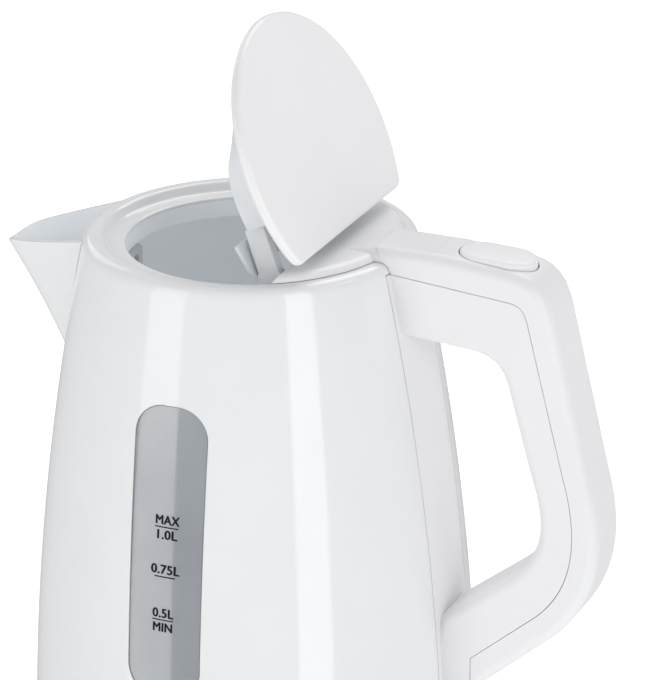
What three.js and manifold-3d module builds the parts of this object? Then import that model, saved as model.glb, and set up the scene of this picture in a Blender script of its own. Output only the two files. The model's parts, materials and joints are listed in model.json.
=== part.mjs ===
// Cordless electric kettle: a plastic jug with a hinged lid, a hollow handle and a round power base.
// Millimetres. +Z is up, +X points to the handle, the spout is at -X, the water window faces -Y.
// The origin is the centre of the power base's underside, on the table.
import * as THREE from "three";
import { mergeVertices } from "three/addons/utils/BufferGeometryUtils.js";
import Module from "manifold-3d";

const wasm = await Module();
wasm.setup();

// ---------- driving dimensions ----------
const GAP = 0.3; // clearance between touching pieces
const JUG_SEGMENTS = 48; // facets around every surface that follows the jug
const CREST_Z = 192; // highest line of the jug's rim
const CREST_R = 54;
const SHOULDER_DROP = 4.5; // height of the rounded shoulder below the crest
const WALL = 3;
const BODY_BOTTOM = 18.5;
const RECESS_TOP_R = 51; // the lid's seat, a sloped recess inside the crest
const RECESS_R = 48.3;
const LEDGE_DROP = 3;
const MOUTH_R = 42.6;
const FLANGE_T = 7.5;
const FLOOR_Z = 46; // top face of the heating plate
const SHELF_Z = 43.4; // inner shelf that carries the plate's seal

const LID_R = 49.8;
const LID_CHORD_X = 26;
const LID_TOP_Z = 194.4;
const LID_UNDER_Z = 189.6;
const LID_OPEN = THREE.MathUtils.degToRad(65.7);
const HINGE_X = 36;
const HINGE_Z = 187.8;
const PIN_R = 1.5;
const PIN_HALF = 36;
const PAN_R = 40; // drum under the lid that closes the mouth
const PAN_WALL = 1.8;
const PAN_SCREW_X = -12;
const PAN_SCREW_Y = [-14, 14];
const ARM_Y = 32.5; // middle of each hinge arm
const ARM_T = 4;

const STRIP_HALF = 14; // half width of the handle's band on the jug
const STRIP_T = 1.1;
const HANDLE_HALF = 12;
const HANDLE_WALL = 2.3;

const WINDOW_HALF = 13.3;
const WINDOW_LOW = 50;
const WINDOW_HIGH = 152;
const WINDOW_ROUND = 11;

const SPOUT_SPREAD = 3.65; // half width of a level section is this times the root of its depth
const SPOUT_WALL = 1.8;
const SPOUT_TIP_X = -91.7;
const SPOUT_TIP_Z = 176.8;
const SPOUT_NOSE = [2.5, 1.8]; // end of the blunt tip, from the tip's point
const SPOUT_LIP = [6.5, 3.5]; // end of the steeper lip, from the tip's point
const SPOUT_RIM_SLOPE = 0.262; // rise of the rim from the lip to the jug
const KEEL_Z = 130;

const BUTTON_FRONT = 76.8;
const BUTTON_REAR = 103.6;
const BUTTON_HALF = 8.2;
const BUTTON_X = 90; // the button's plunger and spring
const PLUNGER_R = 2;
const SPRING_SHELF_Z = 185.6;

const BASE_R = 75.5;
const BASE_TOP = 17;
const POST_R = 11.4;

// ---------- solids ----------
// A closed geometry becomes a manifold solid; the winding is turned outwards first.
function solid(geometry) {
  const plain = geometry.index ? geometry.toNonIndexed() : geometry.clone();
  for (const name of Object.keys(plain.attributes)) {
    if (name !== "position") plain.deleteAttribute(name);
  }
  const merged = mergeVertices(plain, 1e-4);
  const xyz = merged.attributes.position;
  const old = merged.index.array;
  const kept = [];
  let volume = 0;
  const a = new THREE.Vector3();
  const b = new THREE.Vector3();
  const c = new THREE.Vector3();
  for (let i = 0; i < old.length; i += 3) {
    const [p, q, r] = [old[i], old[i + 1], old[i + 2]];
    if (p === q || q === r || r === p) continue;
    kept.push(p, q, r);
    a.fromBufferAttribute(xyz, p);
    b.fromBufferAttribute(xyz, q);
    c.fromBufferAttribute(xyz, r);
    volume += a.dot(b.cross(c));
  }
  if (volume < 0) kept.reverse();
  return new wasm.Manifold(new wasm.Mesh({
    numProp: 3,
    vertProperties: new Float32Array(xyz.array),
    triVerts: new Uint32Array(kept),
  }));
}

function geometryOf(manifold) {
  const mesh = manifold.getMesh();
  const geometry = new THREE.BufferGeometry();
  geometry.setAttribute("position", new THREE.BufferAttribute(mesh.vertProperties, 3));
  geometry.setIndex(new THREE.BufferAttribute(mesh.triVerts, 1));
  geometry.computeVertexNormals();
  return geometry;
}

const points = (pairs) => pairs.map(([x, y]) => new THREE.Vector2(x, y));

// A body of revolution about Z from a closed list of (radius, height) points.
function turned(pairs, segments = 40) {
  const onAxis = pairs[0][0] === 0 && pairs[pairs.length - 1][0] === 0;
  const profile = points(onAxis ? pairs : [...pairs, pairs[0]]);
  return solid(new THREE.LatheGeometry(profile, segments).rotateX(Math.PI / 2));
}

function disc(radius, low, high, segments = 36) {
  return turned([[0, low], [radius, low], [radius, high], [0, high]], segments);
}

function ring(inner, outer, low, high, segments = 40) {
  return turned([[inner, low], [outer, low], [outer, high], [inner, high]], segments);
}

function box(low, high) {
  const size = high.map((value, i) => value - low[i]);
  const geometry = new THREE.BoxGeometry(...size);
  return solid(geometry.translate(...low.map((value, i) => value + size[i] / 2)));
}

// A rod along Y, X or Z.
function rod(axis, centre, radius, half, segments = 12) {
  const geometry = new THREE.CylinderGeometry(radius, radius, 2 * half, segments);
  if (axis === "x") geometry.rotateZ(Math.PI / 2);
  if (axis === "z") geometry.rotateX(Math.PI / 2);
  return solid(geometry.translate(...centre));
}

// A side profile in the XZ plane, extruded across Y with rounded or square edges.
function slab(outline, yLow, yHigh, round = 0, steps = 3) {
  const shape = outline instanceof THREE.Shape ? outline : new THREE.Shape(outline);
  const geometry = new THREE.ExtrudeGeometry(shape, {
    depth: yHigh - yLow - 2 * round,
    bevelEnabled: round > 0,
    bevelThickness: round,
    bevelSize: round,
    bevelOffset: -round,
    bevelSegments: steps,
    curveSegments: 8,
  });
  return solid(geometry.rotateX(Math.PI / 2).translate(0, yHigh - round, 0));
}

// A plan outline in the XY plane, extruded up Z.
function plate(shape, low, high, curveSegments = 6) {
  const geometry = new THREE.ExtrudeGeometry(shape, {
    depth: high - low,
    bevelEnabled: false,
    curveSegments,
  });
  return solid(geometry.translate(0, 0, low));
}

function roundedRect(x0, y0, x1, y1, r) {
  const shape = new THREE.Shape();
  shape.moveTo(x0 + r, y0);
  shape.lineTo(x1 - r, y0);
  shape.absarc(x1 - r, y0 + r, r, -Math.PI / 2, 0);
  shape.lineTo(x1, y1 - r);
  shape.absarc(x1 - r, y1 - r, r, 0, Math.PI / 2);
  shape.lineTo(x0 + r, y1);
  shape.absarc(x0 + r, y1 - r, r, Math.PI / 2, Math.PI);
  shape.lineTo(x0, y0 + r);
  shape.absarc(x0 + r, y0 + r, r, Math.PI, 1.5 * Math.PI);
  return shape;
}

// A round bar along a path of [x, y, z] points.
function bar(path, radius, steps, sides = 10) {
  const curve = path instanceof THREE.Curve ? path : new THREE.CatmullRomCurve3(path);
  const section = new THREE.Shape();
  section.absarc(0, 0, radius, 0, 2 * Math.PI);
  return solid(new THREE.ExtrudeGeometry(section, {
    steps,
    extrudePath: curve,
    curveSegments: sides / 2,
    bevelEnabled: false,
  }));
}

const union = (...parts) => parts.reduce((sum, part) => sum.add(part));
const cut = (part, ...tools) => tools.reduce((left, tool) => left.subtract(tool), part);

// ---------- the jug's turned shape ----------
// Outer radius of the jug at a height: a slightly bellied cone.
function bodyRadius(z) {
  const h = (CREST_Z - z) / 100;
  return 56.66 + 21.25 * h - 5.17 * h * h;
}

function heights(low, high, count) {
  return Array.from({ length: count + 1 }, (_, i) => low + (high - low) * i / count);
}

// The jug's outer side and rounded shoulder; grow moves it outwards.
function outerSide(grow) {
  const shoulderZ = CREST_Z - SHOULDER_DROP;
  const outer = heights(BODY_BOTTOM, shoulderZ, 6).map((z) => [bodyRadius(z) + grow, z]);
  const shoulder = [];
  for (let i = 1; i <= 3; i += 1) {
    const angle = (i / 3) * Math.PI / 2;
    const reach = bodyRadius(shoulderZ) - CREST_R;
    const x = CREST_R + (reach + grow) * Math.cos(angle);
    shoulder.push([x, shoulderZ + (SHOULDER_DROP + grow) * Math.sin(angle)]);
  }
  return [...outer, ...shoulder];
}

// Closed profile of the jug wall, with its rim, lid seat and plate shelf; grow thickens it.
function bodyProfile(grow) {
  const ledgeZ = CREST_Z - LEDGE_DROP;
  const rim = [
    [RECESS_TOP_R - grow, CREST_Z + grow],
    [RECESS_R - grow, ledgeZ + grow],
    [MOUTH_R - grow, ledgeZ + grow],
    [MOUTH_R - grow, ledgeZ - FLANGE_T - grow],
  ];
  const inside = (z) => bodyRadius(z) - WALL - grow;
  const wallTop = ledgeZ - FLANGE_T - 6;
  const shelf = [
    [inside(SHELF_Z), SHELF_Z + grow],
    [69.5 - grow, SHELF_Z + grow],
    [69.5 - grow, SHELF_Z - 2 - grow],
    [inside(SHELF_Z - 6), SHELF_Z - 6],
  ];
  const upper = heights(wallTop, SHELF_Z + 8, 4).map((z) => [inside(z), z]);
  const low = BODY_BOTTOM - grow;
  const foot = grow > 0 ? [[bodyRadius(BODY_BOTTOM) + grow, low]] : [];
  return [...foot, ...outerSide(grow), ...rim, ...upper, ...shelf, [inside(BODY_BOTTOM), low]];
}

// The jug's outside as one solid with no hollow.
function filledJug(grow) {
  const foot = [[0, 0], [bodyRadius(BODY_BOTTOM) + grow, 0]];
  return turned([...foot, ...outerSide(grow), [0, CREST_Z + grow]], JUG_SEGMENTS);
}

// A shell between two depths below the jug's outer surface.
function skin(depthOut, depthIn, low, high, count = 7) {
  const levels = heights(low, high, count);
  const out = levels.map((z) => [bodyRadius(z) - depthOut, z]);
  const back = levels.map((z) => [bodyRadius(z) - depthIn, z]).reverse();
  return turned([...out, ...back], JUG_SEGMENTS);
}

// ---------- handle side profiles, (x, z) ----------
function handleCurve(kind) {
  const path = new THREE.Path();
  if (kind === "outer") {
    path.moveTo(50, 196.9);
    path.lineTo(76, 196.7);
    path.lineTo(98, 194.6);
    path.bezierCurveTo(109, 193.5, 112, 186, 113.9, 178);
    path.lineTo(127.4, 121.5);
    path.bezierCurveTo(133.5, 100, 131, 80, 115.3, 64.8);
    path.lineTo(84.4, 38);
  }
  if (kind === "seam") {
    path.moveTo(50, 189);
    path.lineTo(98, 184.6);
    path.bezierCurveTo(102.5, 184.1, 103.7, 182.5, 105, 178);
    path.lineTo(118.5, 124.5);
    path.bezierCurveTo(124.5, 104, 123.5, 85, 109.4, 72.2);
    path.lineTo(86, 52.6);
  }
  if (kind === "inner") {
    path.moveTo(50, 167.2);
    path.lineTo(84, 164.6);
    path.bezierCurveTo(93, 163.8, 96, 160, 98, 152);
    path.lineTo(106.3, 122);
    path.bezierCurveTo(112.5, 103, 110.5, 93.5, 97.2, 83.2);
    path.lineTo(74, 65.3);
  }
  return path.getPoints(7);
}

// The same line moved sideways, towards the finger gap for a positive distance.
function beside(line, distance) {
  return line.map((point, i) => {
    const before = line[Math.max(i - 1, 0)];
    const after = line[Math.min(i + 1, line.length - 1)];
    const along = after.clone().sub(before).normalize();
    return new THREE.Vector2(point.x + along.y * distance, point.y - along.x * distance);
  });
}

const outerLine = handleCurve("outer");
const seamLine = handleCurve("seam");
const innerLine = handleCurve("inner");

// ---------- jug pieces ----------
const bodySolid = turned(bodyProfile(0), JUG_SEGMENTS);
const bodyGrown = turned(bodyProfile(GAP), JUG_SEGMENTS);
const windowShape = (inset) => roundedRect(
  -WINDOW_HALF + inset,
  WINDOW_LOW + inset,
  WINDOW_HALF - inset,
  WINDOW_HIGH - inset,
  WINDOW_ROUND - inset,
);
const SWITCH_SLOT = { half: 8, low: 21.7, high: 31 };
const switchSlot = (grow) => box(
  [58, -SWITCH_SLOT.half - grow, SWITCH_SLOT.low - grow],
  [95, SWITCH_SLOT.half + grow, SWITCH_SLOT.high + grow],
);
const STRIP_TOP = 188.4;

function bandSolid(half, depthIn, low, high) {
  return skin(0, depthIn, low, high).intersect(box([20, -half, low], [90, half, high]));
}

function bodyShell() {
  const windowHole = slab(windowShape(0), -90, -30);
  const bandRecess = skin(-2, STRIP_T + GAP, BODY_BOTTOM - 1, STRIP_TOP + GAP)
    .intersect(box([20, -STRIP_HALF - GAP, 0], [95, STRIP_HALF + GAP, 200]));
  const hingeNotch = box([19, -37.6, 175], [41, 37.6, 191.1]).intersect(disc(52.6, 175, 191.1));
  const latchNotch = box([40, -5.6, 181], [62, 5.6, 193]);
  const pourHole = box([-75, -13, 156], [-40, 13, 173.5]);
  return cut(bodySolid, windowHole, bandRecess, hingeNotch, latchNotch, pourHole, switchSlot(GAP));
}

function waterWindow() {
  return skin(0.4, 2.8, WINDOW_LOW, WINDOW_HIGH, 5).intersect(slab(windowShape(GAP), -90, -30));
}

// The spout's front edge: it leaves the jug at KEEL_Z and curves outwards as it rises.
function keelX(z) {
  const h = z - KEEL_Z;
  return -(66.5 + 0.4 * h + 0.0031 * h * h);
}

// Solid beak whose level sections are parabolas opening towards the jug; inset moves every face inwards.
function beak(inset) {
  const rootX = -50;
  const backX = -40; // the flat back, hidden inside the jug
  const bow = SPOUT_SPREAD * SPOUT_SPREAD;
  const rings = heights(KEEL_Z - 2, 190, 10).map((z) => {
    const keel = keelX(z);
    const half = SPOUT_SPREAD * Math.sqrt(rootX - keel);
    const near = heights(0, half, 9).slice(1).map((y) => {
      const length = Math.hypot(1, 2 * y / bow);
      return [keel + y * y / bow + inset / length, y - inset * (2 * y / bow) / length];
    }).reverse();
    near.unshift([backX, near[0][1]]);
    const far = near.map(([x, y]) => [x, -y]).reverse();
    return [...near, [keel + inset, 0], ...far].map(([x, y]) => new THREE.Vector3(x, y, z));
  });
  return loft(rings);
}

// Closed skin over a stack of rings with equal point counts.
function loft(rings) {
  const n = rings[0].length;
  const flat = rings.flat().flatMap((p) => [p.x, p.y, p.z]);
  const faces = [];
  for (let k = 0; k + 1 < rings.length; k += 1) {
    for (let i = 0; i < n; i += 1) {
      const j = (i + 1) % n;
      const [a, b, c, d] = [k * n + i, k * n + j, (k + 1) * n + j, (k + 1) * n + i];
      faces.push(a, b, c, a, c, d);
    }
  }
  const cap = THREE.ShapeUtils.triangulateShape(rings[0].map((p) => new THREE.Vector2(p.x, p.y)), []);
  const top = (rings.length - 1) * n;
  for (const [a, b, c] of cap) {
    faces.push(a, c, b);
    faces.push(top + a, top + b, top + c);
  }
  const geometry = new THREE.BufferGeometry();
  geometry.setAttribute("position", new THREE.Float32BufferAttribute(flat, 3));
  geometry.setIndex(faces);
  return solid(geometry);
}

// The beak's walls outside the jug, cut off along the rim.
function spout() {
  const fromTip = ([run, rise]) => [SPOUT_TIP_X + run, SPOUT_TIP_Z + rise];
  const lip = fromTip(SPOUT_LIP);
  const insideX = -30;
  const aboveRim = slab(points([
    fromTip([-20, -9]),
    fromTip([0, 0]),
    fromTip(SPOUT_NOSE),
    lip,
    [insideX, lip[1] + (insideX - lip[0]) * SPOUT_RIM_SLOPE],
    [insideX, 230],
    [SPOUT_TIP_X - 20, 230],
  ]), -60, 60);
  return cut(beak(0), beak(SPOUT_WALL), filledJug(GAP), aboveRim);
}

// Removable scale filter behind the pouring hole: a frame with a slotted sheet.
const FILTER = { x: -52.5, half: 16, low: 153, high: 174.9, depth: 3.5 };

function filterFrame() {
  const { x, half, low, high, depth } = FILTER;
  const outer = box([x, -half, low], [x + depth, half, high]);
  const hole = box([x - 1, 3 - half, low + 3], [x + depth + 1, half - 3, high - 3]);
  const tab = box([x + depth - 0.5, -5, high - 3], [x + depth + 2.5, 5, high + 1.5]);
  return union(cut(outer, hole), tab);
}

function filterSheet() {
  const { x, half, low, high } = FILTER;
  const edge = 3 + GAP;
  const sheet = box([x + 1.5, edge - half, low + edge], [x + 2.3, half - edge, high - edge]);
  const slots = heights(-10.5, 10.5, 7).map((y) => box([x, y - 0.8, low + 6], [x + 4, y + 0.8, high - 6]));
  return cut(sheet, ...slots);
}

// ---------- handle ----------
// The whole handle with rounded edges, before it is split along the seam.
const HANDLE_ROUND = 4;
const COVER_END_X = 86;
const wholeHandle = slab(
  [...outerLine, ...points([[78.6, 29.5], [66, 29.5]]), ...[...innerLine].reverse()],
  -HANDLE_HALF, HANDLE_HALF, HANDLE_ROUND, 3,
);

// Everything outside the seam; a positive shift moves its edge towards the finger gap.
function outsideSeam(shift) {
  const edge = beside(seamLine, shift).slice(0, -1);
  const endX = COVER_END_X - shift;
  const end = points([[endX, 52.2], [endX, 20], [160, 20], [160, 215], [50, 215]]);
  return slab([...edge, ...end], -40, 40);
}

function handleGrip() {
  const cavityInner = beside(innerLine.slice(1, -1), -HANDLE_WALL);
  const cavityOuter = beside(seamLine.slice(0, -1), -1);
  const cavity = slab([...cavityOuter, ...[...cavityInner].reverse()], -9.2, 9.2);
  const clear = filledJug(GAP - STRIP_T);
  const shell = cut(
    wholeHandle, outsideSeam(GAP / 2), cavity.intersect(box([60.5, -20, 55], [200, 20, 200])), clear,
  );
  const shelf = union(
    box([86, -10, SPRING_SHELF_Z - 3], [95, 10, SPRING_SHELF_Z - 1.2]),
    box([86, -8.4, SPRING_SHELF_Z - 3], [95, 8.4, SPRING_SHELF_Z]),
  );
  const plungerHole = rod("z", [BUTTON_X, 0, SPRING_SHELF_Z], PLUNGER_R + 0.4, 8, 16);
  const band = bandSolid(STRIP_HALF, STRIP_T, BODY_BOTTOM, STRIP_TOP);
  return cut(union(shell, shelf, band), switchSlot(0), plungerHole);
}

function buttonOutline(inset) {
  return roundedRect(
    BUTTON_FRONT + inset,
    -BUTTON_HALF + inset,
    BUTTON_REAR - inset,
    BUTTON_HALF - inset,
    BUTTON_HALF - inset - 0.01,
  );
}

function handleCover() {
  const shell = wholeHandle.intersect(outsideSeam(-GAP / 2));
  const hollowOuter = beside(outerLine.slice(0, -1), HANDLE_WALL);
  const hollowInner = beside(seamLine.slice(0, -1), 1);
  const hollow = slab([...hollowOuter, ...hollowInner.reverse()], -9.2, 9.2);
  const saddleDisc = turned([
    [0, LID_UNDER_Z], [RECESS_R - 0.4, LID_UNDER_Z], [LID_R, 192], [LID_R, 193.2],
    [LID_R - 1.4, LID_TOP_Z + 0.1], [0, LID_TOP_Z + 0.1],
  ], JUG_SEGMENTS);
  const behindChord = box([LID_CHORD_X + 0.9, -60, 180], [60, 60, 200]);
  const sweep = rod("y", [HINGE_X, 0, HINGE_Z], 9.7, 60, 48);
  const nose = union(sweep, box([HINGE_X - 5, -60, 180], [70, 60, 200]));
  const riseSide = points([[44, 193], [52, 196.9], [62, 196.8], [62, 192], [44, 190]]);
  const rise = slab(riseSide, -HANDLE_HALF, HANDLE_HALF, 1.5, 2);
  const saddle = union(saddleDisc.intersect(behindChord).intersect(nose), rise);
  const pocket = box([31, -26, 180], [43.5, 26, 192.4]);
  const room = ARM_T / 2 + 0.8;
  const armPockets = union(
    box([20, ARM_Y - room, 180], [43.5, ARM_Y + room, 193.3]),
    box([20, -ARM_Y - room, 180], [43.5, -ARM_Y + room, 193.3]),
  );
  const hinge = [];
  for (const side of [-1, 1]) {
    const y = side * 28;
    const lug = box([32.8, y - 2, HINGE_Z - 3.2], [39.2, y + 2, 193]);
    hinge.push(cut(lug, rod("y", [HINGE_X, 0, HINGE_Z], PIN_R + 0.05, 60, 24)));
  }
  const carved = cut(union(shell, saddle), hollow.intersect(box([58.5, -20, 0], [200, 20, 200])));
  const channel = box([40, -5.6, 181], [62, 5.6, 192.2]);
  const hole = plate(buttonOutline(-0.4), 180, 205);
  const opened = cut(carved, pocket, armPockets, channel, hole, bodyGrown);
  return union(opened, ...hinge);
}

function lidButton() {
  const stem = plate(buttonOutline(0), 189.4, 199);
  const top = slab(points([[70, 180], [70, 197.9], [92, 197.2], [110, 195.6], [110, 180]]), -20, 20);
  const hollow = plate(buttonOutline(1.8), 180, 193.2);
  const plunger = rod("z", [BUTTON_X, 0, 189.6], PLUNGER_R, 4, 16);
  const wedge = box([80.6, -3, 186.6], [84, 3, 194]);
  return union(cut(stem.intersect(top), hollow), plunger, wedge);
}

// The spring under the button: a wire helix around the plunger.
function helix(centre, radius, wire, low, high, turns) {
  const path = new THREE.CatmullRomCurve3(
    heights(0, 1, turns * 10).map((t) => new THREE.Vector3(
      centre[0] + radius * Math.cos(2 * Math.PI * turns * t),
      centre[1] + radius * Math.sin(2 * Math.PI * turns * t),
      low + (high - low) * t,
    )),
  );
  return bar(path, wire, turns * 8, 6);
}

// The lid's torsion spring: a coil round the hinge pin.
function lidSpring() {
  const [turns, radius, start, length] = [4, 2.9, 8, 8];
  const path = heights(0, 1, turns * 8).map((t) => new THREE.Vector3(
    HINGE_X + radius * Math.cos(2 * Math.PI * turns * t),
    start + length * t,
    HINGE_Z + radius * Math.sin(2 * Math.PI * turns * t),
  ));
  return bar(path, 0.45, turns * 8, 6);
}

// Bent sliding bar: its hook waits behind the lid, its foot sits beside the button's wedge.
function latchSlider() {
  const upper = box([41, -4, 188.7], [74.2, 4, 190.7]);
  const step = box([41, -4, 182.5], [43, 4, 190.7]);
  const lower = box([22.6, -4, 182.5], [43, 4, 184.3]);
  const hook = box([22.6, -4, 182.5], [24.4, 4, 185.6]);
  const drop = box([72.2, -2.6, 184.4], [74.2, 2.6, 190.7]);
  const foot = box([72.2, -2.6, 184.4], [78, 2.6, 186]);
  return union(upper, step, lower, hook, drop, foot);
}

// ---------- lid, drawn closed and then swung open ----------
function lidPlate() {
  const crown = turned([
    [0, LID_UNDER_Z], [RECESS_R - 0.6, LID_UNDER_Z], [LID_R, 191.8], [LID_R, 193], [LID_R - 1.6, LID_TOP_Z],
    [30, LID_TOP_Z + 0.7], [0, LID_TOP_Z + 1],
  ], JUG_SEGMENTS);
  const chordEdge = slab(points([
    [-60, 180], [LID_CHORD_X, 180], [LID_CHORD_X, 193.2], [LID_CHORD_X - 1.4, LID_TOP_Z],
    [10, 199], [-60, 199],
  ]), -60, 60);
  return crown.intersect(chordEdge);
}

function panProfile(lift) {
  const low = new THREE.CatmullRomCurve3([
    new THREE.Vector3(-44, 187.6, 0), new THREE.Vector3(-22, 184.6, 0), new THREE.Vector3(-10, 180, 0),
    new THREE.Vector3(2, 178.6, 0), new THREE.Vector3(24, 177.4, 0),
  ]).getPoints(10).map((p) => new THREE.Vector2(p.x, p.y + lift));
  return [...low, new THREE.Vector2(24, 200), new THREE.Vector2(-44, 200)];
}

function lidPan() {
  const top = LID_UNDER_Z - GAP;
  const rear = (inset) => union(
    box([-60, -60, 160], [10.4 - inset, 60, 200]),
    box([-20, -28 + inset, 160], [22 - inset, 28 - inset, 200]),
  );
  const drum = disc(PAN_R, 170, top).intersect(slab(panProfile(0), -60, 60)).intersect(rear(0));
  const hollow = disc(PAN_R - PAN_WALL, 160, 195)
    .intersect(slab(panProfile(PAN_WALL), -60, 60)).intersect(rear(PAN_WALL));
  const underside = slab(panProfile(0), -60, 60);
  const bosses = PAN_SCREW_Y.map((y) => rod("z", [PAN_SCREW_X, y, 184.4], 3.2, 4.9, 16).intersect(underside));
  const holes = PAN_SCREW_Y.map((y) => union(
    rod("z", [PAN_SCREW_X, y, 184], 1.5, 12),
    rod("z", [PAN_SCREW_X, y, 180.7], 2.9, 2.2),
  ));
  return cut(union(cut(drum, hollow), ...bosses), ...holes);
}

// Goose-neck arm: from the drum's rear edge, under the jug's flange and up to the pin.
// A flat tab beside it guides the lid into the mouth.
function lidArm(side) {
  const outline = points([
    [6, 175.4], [11.5, 174.4], [27, 172.8], [32, 175], [37.6, 181.5], [39, 186.4], [38.3, 189.7],
    [34.2, 190.2], [32, 187], [30.8, 182.6], [27, 180.4], [12, 181.8], [6, 182.2],
  ]);
  const y = side * ARM_Y;
  const plateArm = slab(outline, y - ARM_T / 2, y + ARM_T / 2);
  const tabShape = new THREE.Shape(points([
    [14, side * 30.6], [28, side * 30.6], [28, side * 34], [24, side * 37], [14, side * 39.2],
  ]));
  const tab = plate(tabShape, 171, 172.3);
  const web = box([26, y - ARM_T / 2, 171.2], [28, y + ARM_T / 2, 174]);
  const clear = disc(PAN_R + 0.2, 160, 200).intersect(box([-60, -60, 160], [10.7, 60, 200]));
  const bore = rod("y", [HINGE_X, 0, HINGE_Z], PIN_R + 0.05, 60, 24);
  return cut(union(plateArm, tab, web), clear, bore);
}

// ---------- heating and control ----------
function screw(x, y, headZ, length, headR = 2.6, shankR = 1.2) {
  const head = rod("z", [x, y, headZ + 0.7], headR, 0.7, 10);
  const shank = rod("z", [x, y, headZ + 1.2 + length / 2], shankR, length / 2, 6);
  const cross = union(box([x - 1.5, y - 0.3, headZ - 1], [x + 1.5, y + 0.3, headZ + 0.6]),
    box([x - 0.3, y - 1.5, headZ - 1], [x + 0.3, y + 1.5, headZ + 0.6]));
  return cut(union(head, shank), cross);
}

const screwHole = (x, y, headZ, length) => union(
  rod("z", [x, y, headZ - 1], 3, 2.7, 10),
  rod("z", [x, y, headZ + 1.2 + length / 2], 1.6, length / 2 + 0.6, 8),
);

const polar = (radius, degrees) => {
  const angle = THREE.MathUtils.degToRad(degrees);
  return [radius * Math.cos(angle), radius * Math.sin(angle)];
};

const BOTTOM_SCREWS = [60, 180, 300].map((angle) => polar(52, angle));
const BASE_SCREWS = [0, 120, 240].map((angle) => polar(40, angle));
const FEET = [60, 180, 300].map((angle) => polar(62, angle));
const BOTTOM_SCREW = { z: 20.4, length: 8 };
const BASE_SCREW = { z: 0.9, length: 8 };

function bottomCover() {
  const floor = turned([
    [18.2, 20.4], [59, 20.4], [60, BASE_TOP + GAP], [64, BASE_TOP + GAP], [65, 20.4],
    [74.3, 20.4], [74.3, 22.6], [18.2, 22.6],
  ]);
  const posts = BOTTOM_SCREWS.map(([x, y]) => rod("z", [x, y, 26], 3.6, 4, 10));
  const holes = BOTTOM_SCREWS.map(([x, y]) => screwHole(x, y, BOTTOM_SCREW.z, BOTTOM_SCREW.length));
  return cut(union(floor, ...posts), ...holes, switchSlot(GAP + 0.2));
}

function kettleSocket() {
  const bore = POST_R + 0.5;
  return turned([
    [bore, 19.4], [17.8, 19.4], [17.8, 30], [16, 34.6], [0, 34.6], [0, 32.4], [bore, 32.4],
  ], 24);
}

function socketPin() {
  return rod("z", [0, 0, 29.6], 1.6, 2.5, 16);
}

function controlUnit() {
  const block = disc(24, 35, 40.4, 48);
  const bed = box([20, -9, 35], [46, 9, 38.5]);
  return cut(union(block, bed), rod("z", [0, 0, 38], 3, 6, 16));
}

function heatingElement() {
  const z = FLOOR_Z - 5.2;
  const loop = heights(20, 340, 24).map((angle) => new THREE.Vector3(...polar(46, angle), z));
  return bar(loop, 3.3, 26, 8);
}

// ---------- switch ----------
const PIVOT = { x: 62, z: 27.2 };

function switchLever() {
  const side = points([
    [57, 25.8], [67, 24.8], [80.6, 24.8], [93, 23.2], [94.2, 24.4], [93.4, 27.2],
    [82, 29.4], [67, 29.6], [57, 28.4],
  ]);
  return cut(slab(side, -7, 7), rod("y", [PIVOT.x, 0, PIVOT.z], 1.25, 20, 20));
}

function tripRod() {
  return union(rod("z", [52.5, 0, 33.5], 1.4, 3), rod("z", [52.5, 0, 30.5], 3, 0.7));
}

function switchBracket() {
  const wall = (y) => box([58.5, y - 1, 22.9], [66, y + 1, 33]);
  const bridge = box([58.5, -10.8, 31.6], [66, 10.8, 33.6]);
  const pivotHole = rod("y", [PIVOT.x, 0, PIVOT.z], 1.25, 20, 20);
  return cut(union(wall(-9.8), wall(9.8), bridge), pivotHole);
}

// Bimetal disc that steam heats: it stands upright above the lever's paddle side.
function steamDisc() {
  return rod("x", [70.6, 0, 34.8], 4, 0.4, 24);
}

// ---------- power base ----------
const CONTACTS = [[4.2, 5.2], [8, 9]];
const GLAND_Z = 7.3;
const GLAND_R = 3.9;
const CORD_BORE_R = 2.6;

function baseCover() {
  const shell = turned([
    [73.3, 0.2], [74.6, 0.2], [BASE_R, 1.6], [BASE_R, 10.5], [74.4, 13.6], [71.4, 15.8],
    [66, BASE_TOP], [24, BASE_TOP], [24, 14.8], [65.4, 14.8], [70, 13.8], [73.3, 10.2],
  ]);
  const posts = BASE_SCREWS.map(([x, y]) => rod("z", [x, y, 10], 3.6, 5.2, 10));
  const holes = BASE_SCREWS.map(([x, y]) => screwHole(x, y, BASE_SCREW.z, BASE_SCREW.length));
  return cut(union(shell, ...posts), ...holes, rod("y", [0, 76, GLAND_Z], GLAND_R + GAP, 6, 20));
}

// Plain rubber grommet for the cord, held by a collar inside the base's wall.
function cordGland() {
  const collar = rod("y", [0, 69.8, GLAND_Z], 5, 1.3, 20);
  const core = rod("y", [0, 73.4, GLAND_Z], GLAND_R, 2.8, 20);
  return cut(union(collar, core), rod("y", [0, 74, GLAND_Z], CORD_BORE_R, 12, 16));
}

function basePlate() {
  const floor = disc(72.8, 0, 2);
  const pads = FEET.map(([x, y]) => rod("z", [x, y, 0], 6.3, 1.2, 16));
  const holes = BASE_SCREWS.map(([x, y]) => screwHole(x, y, BASE_SCREW.z, BASE_SCREW.length));
  return cut(floor, ...pads, ...holes);
}

function baseConnector() {
  const boss = turned([
    [0, 2.3], [23.7, 2.3], [23.7, BASE_TOP + 0.3], [18.6, BASE_TOP + 1], [POST_R, BASE_TOP + 1.2],
    [POST_R, 29], [POST_R - 1, 30.4], [0, 30.4],
  ], 24);
  const hollow = ring(12, 22, 1, 14.5, 24);
  const grooves = CONTACTS.map(([inner, outer]) => ring(inner - GAP, outer + GAP, 12, 40, 20));
  return cut(boss, hollow, ...grooves, rod("z", [0, 0, 30], 2.3, 12, 24));
}

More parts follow.
